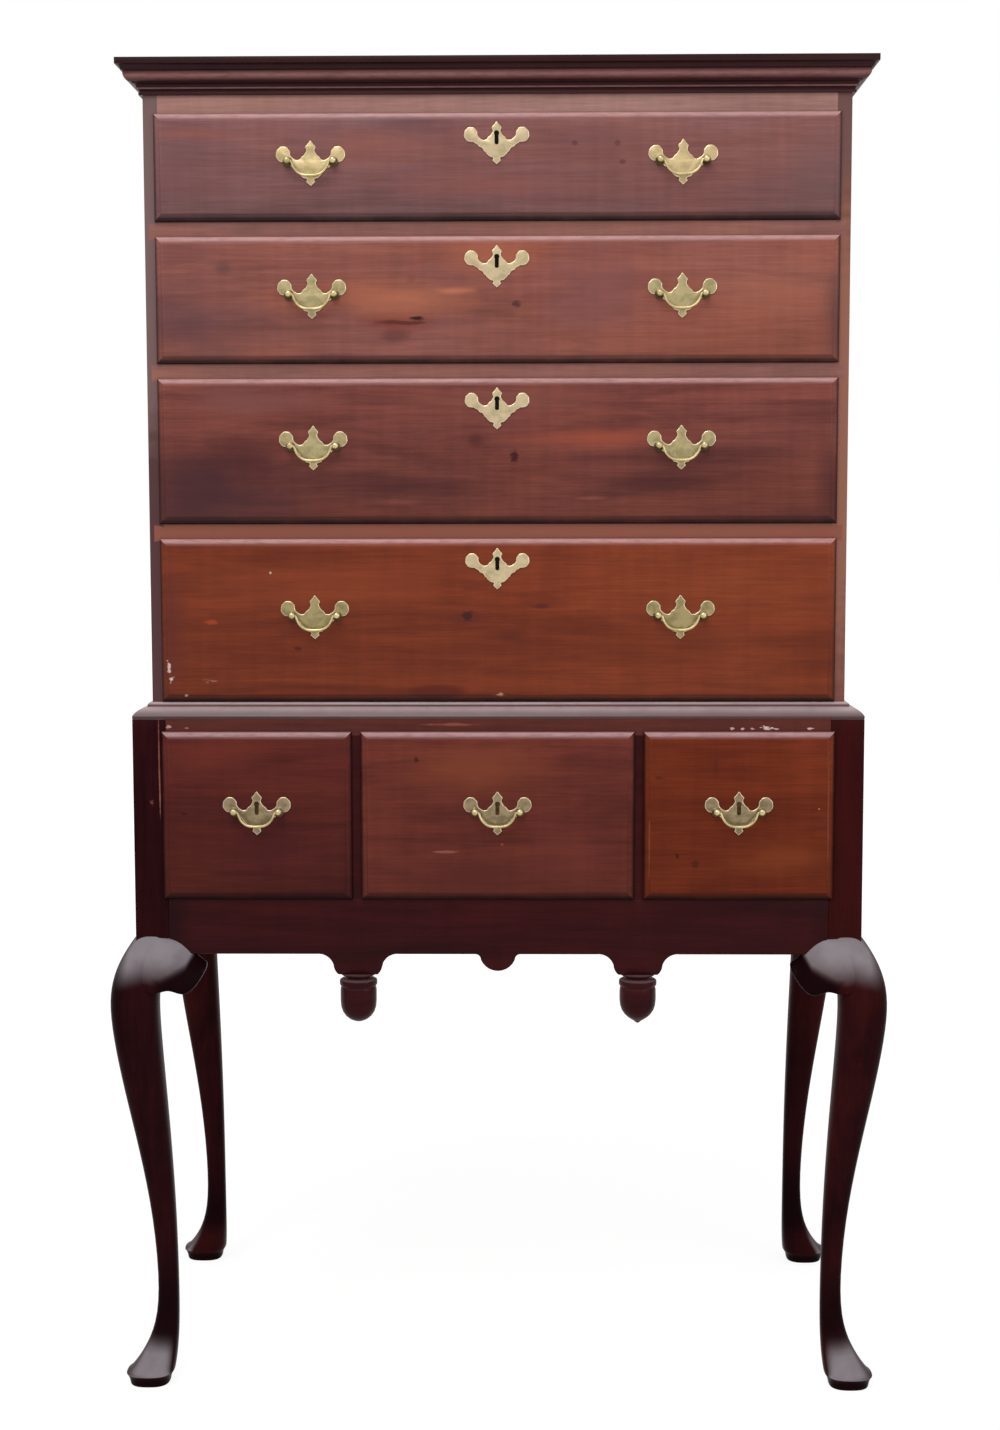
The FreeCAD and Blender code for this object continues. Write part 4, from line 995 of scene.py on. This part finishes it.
# ---- brasses
# The right half of a batwing plate in millimetres, clockwise between the spire and the tip.
SPIRE, TIP = (0, 26.8), (0, -32.4)
WING = [(2.4, 24.0, 0.4), (5.0, 20.8), (7.0, 17.4, 0.6), (5.6, 14.2, -0.2), (7.2, 10.4, -0.5), (10.4, 6.6, -0.5),
        (13.2, 3.6, 0.3), (16.6, 1.6, -0.7), (20.8, 2.6, -0.6), (24.8, 5.6, -0.3), (26.6, 10.0, -0.5),
        (28.8, 15.4, 0.9), (35.0, 19.0, 1.2), (42.0, 16.4, 1.2), (45.4, 9.4, 1.1), (43.4, 2.2, 1.1),
        (37.6, -1.4, 1.0), (32.4, -1.6, 0.3), (29.0, -4.0, 0.4), (25.6, -7.0, -0.4), (21.8, -9.0, 0.6),
        (18.6, -12.4, -0.3), (15.4, -15.6, 0.7), (12.0, -19.6, 0.5), (6.8, -22.4, 0.8), (4.6, -24.2, -0.3),
        (5.8, -27.2, 0.5)]
# Round top and straight slot, round the keyhole's middle.
KEYHOLE = [(-2.7, -8.0, 1.6), (-2.7, 2.9), (2.7, 2.9, 5.8), (2.7, -8.0)]
# Radius and place along the axis of a pull's post, from its knob to its foot.
POST_PROFILE = [(0, -13.3), (1.5, -13.1), (3.1, -12.3), (4.3, -10.8), (4.7, -8.8), (4.5, -6.9), (3.6, -5.2),
                (2.9, -4.1), (2.8, -3.3), (3.4, -2.7), (4.8, -2.2), (6.0, -1.5), (6.6, -0.7), (6.6, 0.4), (0, 0.4)]
# Half of a bail from its pin to its middle, round its axis.
BAIL = [(28.8, 0), (26.8, 0), (25.4, -0.6), (24.4, -2.0), (23.6, -4.2), (22.6, -7.0), (21.0, -10.2), (18.8, -13.2),
        (15.8, -15.9), (12.4, -17.9), (9.0, -19.0), (6.0, -19.4), (3.0, -19.6), (0, -19.6)]
# The metals of a drawer's brasses after its plates', by the number that a face has.
METALS = ["Lock Iron", "Keyhole", "Escutcheon Brass", "Bail Brass", "Dirty Brass", "Keyhole Dust"]
IRON, DARK, ESCUTCHEON, BRIGHT, POST_DIRT_AND_SHADOW, DUSTY = range(1, 7)


def plate_points():
    """Batwing outline, clockwise from the right of the spire. An arc's rise goes with its end, so that each
    point of the left half has the rise of the next one of the right half."""
    ends = [SPIRE] + WING
    left = [(-x, z, *WING[index][2:]) for index, (x, z, *_) in enumerate(ends[:-1])]
    return WING + [TIP, (-WING[-1][0], WING[-1][1])] + left[::-1]


def make_plate(settings, keyed, size=1.0):
    """Backplate round (0, 0, 0), its back on the plane y = 0."""
    piece = slab([Vector((x * size, 0, z * size)) for x, z in outline(plate_points(), 4)],
                 (0, -PLATE_THICKNESS, 0))
    pick(piece, "FACE", lambda normal: normal.y < -0.9)
    bpy.ops.mesh.region_to_loop()
    bpy.ops.mesh.bevel(offset=settings.plate_bevel, segments=3, profile=0.5, affect="EDGES")
    rest()
    # The bevel round the plate is marked paler: rubbed brass with a painted highlight.
    paint(piece, worn=lambda x, y, z: 0.0 if y < 0.01 - PLATE_THICKNESS / MM else 1.0)
    if keyed:
        cutter = slab([Vector((x, MM, z + 4.6 * MM)) for x, z in outline(KEYHOLE, 10)],
                      (0, -2 * PLATE_THICKNESS, 0))
        modify(piece, "BOOLEAN", operation="DIFFERENCE", solver="EXACT", object=cutter)
        bpy.data.objects.remove(cutter)
    return smooth(piece, 40)


def make_post():
    """Turned post round (0, 0, 0), its foot on the plane y = 0 of the plate's face and set a little low, so that
    its dark foot also shows below the knob as a painted shadow.
    """
    piece = lathe([Vector((r * MM, y * MM, 0)) for r, y in POST_PROFILE], (0, 0, 0), (0, 1, 0), 28)
    for vertex in piece.data.vertices:
        if vertex.co.y > -3 * MM:
            vertex.co.z -= SHADOW_SAG
    return smooth(piece, 50)


def keyhole_shade():
    """A dark sheet just behind the plate's face, seen through a keyhole: painted shade in the keyholes of locked
    drawers.
    """
    piece = block((-5 * MM, -0.9 * MM, -5.5 * MM), (5 * MM, -0.1 * MM, 13.5 * MM))
    pick(piece, "FACE", lambda normal: normal.y < -0.9)
    bpy.ops.mesh.inset(thickness=1 * MM)
    rest()
    return piece


def recolour(piece, metal, test=lambda centre: True):
    """Gives the faces for which test is true another of the piece's metals."""
    for face in piece.data.polygons:
        if test(face.center):
            face.material_index = metal


def make_brasses(drawer, plain, keyed, small, post, shade):
    """All brasses of one drawer, with the nuts and the lock behind its front."""
    back = case_copy(drawer.name + "_brasses", drawer.lip_face + MM)
    parts, dark, posts = [back], [], []
    for middle, _ in drawer.pulls:
        centre = Vector((middle, drawer.lip_face, drawer.pull_height))
        parts.append(twin(plain if drawer.locked else keyed, centre))
        if not drawer.locked:
            dark.append(twin(shade, centre))
        for side in (-0.5, 0.5):
            posts.append(twin(post, centre + Vector((side * POST_SPACING, -PLATE_THICKNESS, 0))))
    if drawer.locked:
        centre = Vector((drawer.middle, drawer.lip_face, drawer.top - ESCUTCHEON_DROP))
        parts.append(twin(small, centre))
        dark.append(twin(shade, centre))
    for piece in parts + posts + dark:
        piece.data.materials.clear()
        for name in [PLATE_BRASS_BY_LIGHT.get(drawer.name, "Plate Brass")] + METALS:
            piece.data.materials.append(finish(name))
    if drawer.locked:
        recolour(back, IRON, lambda centre: abs(centre.x) < LOCK_HALF)
        recolour(parts[-1], ESCUTCHEON)
    for piece in dark:
        recolour(piece, DARK if drawer.locked else DUSTY)
    for piece in posts:
        recolour(piece, BRIGHT)
        # The post's foot, set low, takes the dark brass: dirt round the foot and a painted shadow below the knob.
        recolour(piece, POST_DIRT_AND_SHADOW, lambda centre: centre.y > drawer.lip_face - 8 * MM)
    return smooth(joined(parts + posts + dark), 40)


def make_bail(settings):
    """Cast bail round (0, 0, 0): a traced bow given its thickness, heavier in the middle."""
    whole = BAIL + [(-x, z) for x, z in BAIL[-2::-1]]
    piece = trace([Vector((x * MM, 0, z * MM)) for x, z in whole])
    only(piece)
    bpy.ops.object.convert(target="CURVE")
    curve = bpy.context.object.data
    curve.bevel_depth = settings.bail_radius
    curve.bevel_resolution = 4
    curve.use_fill_caps = True
    thin, swelling, reach = 0.82, 0.3, 29 * MM
    for point in curve.splines[0].points:
        point.radius = thin + swelling * (1 - min(1.0, abs(point.co.x) / reach))
    only(bpy.context.object)
    bpy.ops.object.convert(target="MESH")
    return smooth(close_up(bpy.context.object), 50)


# ---- settings and operators
LENGTH = {"min": 0.0, "subtype": "DISTANCE", "unit": "LENGTH"}


class HighboySettings(PropertyGroup):
    """Sizes and levels that a user may change before the pieces are made."""

    knee_projection: FloatProperty(
        name="Knee Projection", description="How far the knees stand beyond the posts", default=36 * MM, **LENGTH)
    knee_roundness: FloatProperty(
        name="Knee Roundness", description="Corner radius of a leg's section, as a share",
        default=0.72, min=0.1, max=0.98, subtype="FACTOR")
    edge_softness: FloatProperty(
        name="Edge Softness", description="Radius worn on the edges of boards and posts", default=1.2 * MM, **LENGTH)
    lip_round: FloatProperty(
        name="Lip Rounding", description="Width of the moulding round a drawer's lip", default=9 * MM, **LENGTH)
    moulding_softness: FloatProperty(
        name="Moulding Softness", description="Radius worn on the mouldings' edges", default=0.5 * MM, **LENGTH)
    plate_bevel: FloatProperty(
        name="Plate Bevel", description="Filed bevel round a brass backplate", default=1.3 * MM, **LENGTH)
    bail_radius: FloatProperty(
        name="Bail Radius", description="Radius of the bails where they leave their posts",
        default=1.75 * MM, **LENGTH)
    floor_colour: FloatVectorProperty(
        name="Floor Colour", description="Colour of the studio floor",
        default=colour(236, 236, 236)[:3], size=3, subtype="COLOR", min=0.0, max=1.0)
    sky_level: FloatProperty(
        name="Ambient Level", description="Strength of the light from all round", default=0.55, min=0.0)
    key_power: FloatProperty(
        name="Key Lamp", description="Power of the large lamp above the front", default=95.0, min=0.0, unit="POWER")
    fill_power: FloatProperty(
        name="Fill Lamp", description="Power of the lamp beside the front", default=30.0, min=0.0, unit="POWER")


def settings_of(context):
    return context.scene.highboy


def place_on_case(piece, name, wood, node):
    """Puts a piece of the fixed case in place of its node."""
    place(piece, name, "case", "case_wood", finish(wood), node)


class HIGHBOY_OT_legs(Operator):
    """Make the four cabriole legs with their posts"""

    bl_idname = "highboy.legs"
    bl_label = "Legs"

    def execute(self, context):
        front_left = make_leg(settings_of(context))
        place_on_case(front_left, "carved_leg_front_left", "Post Wood", "leg_front_left")
        for node, scale in (("leg_front_right", (-1, 1, 1)), ("leg_back_left", (1, -1, 1)),
                            ("leg_back_right", (-1, -1, 1))):
            place_on_case(twin(front_left, scale=scale), "carved_" + node, "Post Wood", node)
        return {"FINISHED"}


class HIGHBOY_OT_brackets(Operator):
    """Make the six knee brackets"""

    bl_idname = "highboy.brackets"
    bl_label = "Knee Brackets"

    def execute(self, context):
        front = make_bracket(settings_of(context))
        swap = BASE_FRONT + HALF_WIDTH
        side = twin(front, (-swap, swap, 0), math.radians(90), (1, -1, 1))
        pieces = [front, twin(front, scale=(-1, 1, 1)), side, twin(side, scale=(-1, 1, 1)),
                  twin(side, scale=(1, -1, 1)), twin(side, scale=(-1, -1, 1))]
        place_on_case(joined(pieces), "carved_knee_brackets", "Post Wood", "knee_brackets")
        return {"FINISHED"}


class HIGHBOY_OT_skirt(Operator):
    """Saw out the skirt board"""

    bl_idname = "highboy.skirt"
    bl_label = "Skirt"

    def execute(self, context):
        skirt = slab([Vector((x, BASE_FRONT, z)) for x, z in outline(skirt_points(), 10)], (0, BOARD, 0))
        ease(skirt, settings_of(context).edge_softness)
        place_on_case(smooth(skirt, 30), "sawn_skirt", "Base Wood", "skirt_board")
        return {"FINISHED"}


class HIGHBOY_OT_drops(Operator):
    """Turn the two acorn drops"""

    bl_idname = "highboy.drops"
    bl_label = "Drops"

    def execute(self, context):
        drops = [make_drop(-DROP_PLACE, ROUND_ACORN), make_drop(DROP_PLACE, POINTED_ACORN)]
        place_on_case(joined(drops), "turned_drops", "Base Wood", "skirt_drops")
        return {"FINISHED"}


class HIGHBOY_OT_mouldings(Operator):
    """Run the cornice and the waist moulding"""

    bl_idname = "highboy.mouldings"
    bl_label = "Mouldings"

    def execute(self, context):
        soft = settings_of(context).moulding_softness
        cornice = smooth(ease(mitred_run(outline(CORNICE), CORNICE_FOOT), soft), 30)
        paint(cornice, cornice_wear, cornice_grime)
        place_on_case(cornice, "run_cornice", "Cornice Wood", "cornice")
        waist = smooth(ease(mitred_run(outline(WAIST), BASE_TOP), soft), 30)
        paint(waist, grime=waist_grime)
        place_on_case(waist, "run_waist", "Waist Wood", "waist_moulding")
        return {"FINISHED"}


class HIGHBOY_OT_fronts(Operator):
    """Mould the lips of the seven drawer fronts"""

    bl_idname = "highboy.fronts"
    bl_label = "Drawer Fronts"

    def execute(self, context):
        for drawer in DRAWERS:
            piece = make_front(drawer, settings_of(context))
            place(piece, drawer.name + "_lipped_front", drawer.name, "front_wood", front_finish(drawer.name),
                  drawer.name + "_front")
        return {"FINISHED"}


class HIGHBOY_OT_brasses(Operator):
    """Cut the backplates and turn the posts"""

    bl_idname = "highboy.brasses"
    bl_label = "Brasses"

    def execute(self, context):
        settings = settings_of(context)
        patterns = [make_plate(settings, False), make_plate(settings, True), make_plate(settings, True, 0.94),
                    make_post(), keyhole_shade()]
        for drawer in DRAWERS:
            piece = make_brasses(drawer, *patterns)
            place(piece, drawer.name + "_plates", drawer.name, "brass", None, drawer.name + "_brasses")
        for pattern in patterns:
            bpy.data.objects.remove(pattern)
        return {"FINISHED"}


class HIGHBOY_OT_bails(Operator):
    """Cast the eleven bails"""

    bl_idname = "highboy.bails"
    bl_label = "Bails"

    def execute(self, context):
        pattern = make_bail(settings_of(context))
        for drawer in DRAWERS:
            for _, side in drawer.pulls:
                node = drawer.name + ("_bail_" + side if side else "_bail")
                body = drawer.name + ("_" + side + "_bail" if side else "_bail_body")
                if body not in HINGED:
                    raise RuntimeError("no hinge carries " + body)
                axis = sum(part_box(node), Vector()) / 2
                axis.z = drawer.pull_height
                place(twin(pattern, axis), node + "_cast", body, "brass", finish("Bail Brass"), node)
        bpy.data.objects.remove(pattern)
        return {"FINISHED"}


CASE_FINISHES = {
    "Right Side": ["upper_side_right"],
    "Left Side": ["upper_side_left"],
    "Divider Wood": ["drawer_dividers"],
    "Frieze Wood": ["frieze_rail"],
    "Base Wood": ["base_side_right", "base_side_left", "base_partitions"],
    "Rail Wood": ["base_top_rail"],
    "Back Pine": ["base_back_board", "base_runners", "base_guides", "upper_top_board", "upper_bottom_board",
                  "upper_back_boards", "upper_runners"],
    "Drawer Pine": [name + "_box" for name in UPPER + BASE],
    "Lock Iron": [name + "_lock_bolt" for name in UPPER],
}


class HIGHBOY_OT_case(Operator):
    """Stain the boards of the case and leave the hidden ones raw"""

    bl_idname = "highboy.case"
    bl_label = "Case Boards"

    def execute(self, context):
        for name, nodes in CASE_FINISHES.items():
            for node in nodes:
                for slot in NODES[node].material_slots:
                    slot.material = finish(name)
        return {"FINISHED"}


class HIGHBOY_OT_stage(Operator):
    """Set up the floor, the lamps and the camera"""

    bl_idname = "highboy.stage"
    bl_label = "Stage"

    def execute(self, context):
        settings = settings_of(context)
        scene = context.scene
        scene.view_settings.view_transform = "Standard"
        make_floor(settings)
        make_surroundings(scene, settings)
        lamp("key_lamp", (-0.9, -2.6, 4.3), 2.6, settings.key_power)
        lamp("fill_lamp", (3.4, -2.8, 1.9), 2.2, settings.fill_power)
        make_camera(scene)
        return {"FINISHED"}


WHITE = (1, 1, 1, 1)
FLOOR_GLOW = 1.13
LAMP_TARGET = Vector((0, 0, 0.9))
CAMERA_PLACE = (0.04863, -3.14015, 1.20113)
CAMERA_DOWN, CAMERA_ROLL, CAMERA_TURN = math.radians(5.49), math.radians(0.0945), math.radians(0.889)
CAMERA_LENS = 54.61


def seen_directly(tree):
    """1 for what is seen straight, mirrored or through glass, and 0 for light that falls on other things."""
    path = add(tree, "LightPath").outputs
    seen = plus(path["Is Camera Ray"], path["Is Glossy Ray"], clamp=True)
    return plus(seen, path["Is Transmission Ray"], clamp=True)


def make_floor(settings):
    """A matt floor that takes the shadow, and looks as white as the surroundings further off."""
    rest()
    bpy.ops.mesh.primitive_circle_add(vertices=64, radius=30, fill_type="NGON", location=(0, 0, -0.5 * MM))
    floor = bpy.context.object
    floor.name = "floor"
    settle()
    material = bpy.data.materials.new("Studio Floor")
    material.use_nodes = True
    tree = material.node_tree
    tree.nodes.clear()
    matt = add(tree, "BsdfDiffuse", {"Color": (*settings.floor_colour, 1)})
    glow = add(tree, "Emission", {"Color": WHITE, "Strength": FLOOR_GLOW})
    far = vectors("LENGTH", add(tree, "TexCoord").outputs["Object"])["Value"]
    share = times(seen_directly(tree), spread(far, 0.7, 3.2, 0.8, 1.0))
    blend = add(tree, "MixShader", {0: share, 1: matt.outputs[0], 2: glow.outputs[0]})
    add(tree, "OutputMaterial", {"Surface": blend.outputs[0]})
    floor.data.materials.append(material)


def make_surroundings(scene, settings):
    """Light from all round that is seen as plain white."""
    world = bpy.data.worlds.new("Studio")
    scene.world = world
    world.use_nodes = True
    tree = world.node_tree
    tree.nodes.clear()
    level = plus(times(seen_directly(tree), 1 - settings.sky_level), settings.sky_level)
    light = add(tree, "Background", {"Color": WHITE, "Strength": level})
    add(tree, "OutputWorld", {"Surface": light.outputs[0]})


def lamp(name, location, size, power):
    """Large square soft lamp turned to the middle of the piece."""
    rest()
    bpy.ops.object.light_add(type="AREA", location=location)
    light = bpy.context.object
    light.name = name
    light.data.size = size
    light.data.energy = power
    light.rotation_euler = (LAMP_TARGET - Vector(location)).to_track_quat("-Z", "Y").to_euler()


def make_camera(scene):
    """The camera before the piece, a little high and looking down."""
    rest()
    bpy.ops.object.camera_add(location=CAMERA_PLACE,
                              rotation=(math.pi / 2 - CAMERA_DOWN, CAMERA_ROLL, CAMERA_TURN))
    camera = bpy.context.object
    camera.name = "camera"
    camera.data.sensor_width = 36
    camera.data.lens = CAMERA_LENS
    camera.data.dof.use_dof = False
    scene.camera = camera


class HIGHBOY_PT_panel(Panel):
    """Lists the pieces in the sidebar"""

    bl_label = "Highboy"
    bl_idname = "HIGHBOY_PT_panel"
    bl_space_type = "VIEW_3D"
    bl_region_type = "UI"
    bl_category = "Highboy"

    def draw(self, context):
        settings = settings_of(context)
        for name in HighboySettings.__annotations__:
            self.layout.prop(settings, name)
        for operator in OPERATORS:
            self.layout.operator(operator.bl_idname)


OPERATORS = [HIGHBOY_OT_legs, HIGHBOY_OT_brackets, HIGHBOY_OT_skirt, HIGHBOY_OT_drops, HIGHBOY_OT_mouldings,
             HIGHBOY_OT_fronts, HIGHBOY_OT_brasses, HIGHBOY_OT_bails, HIGHBOY_OT_case, HIGHBOY_OT_stage]
CLASSES = [HighboySettings] + OPERATORS + [HIGHBOY_PT_panel]


def register():
    for kind in CLASSES:
        bpy.utils.register_class(kind)
    bpy.types.Scene.highboy = PointerProperty(type=HighboySettings)


def unregister():
    del bpy.types.Scene.highboy
    for kind in reversed(CLASSES):
        bpy.utils.unregister_class(kind)


def main():
    register()
    for operator in OPERATORS:
        getattr(bpy.ops.highboy, operator.bl_idname.split(".")[1])()


if __name__ == "__main__":
    main()
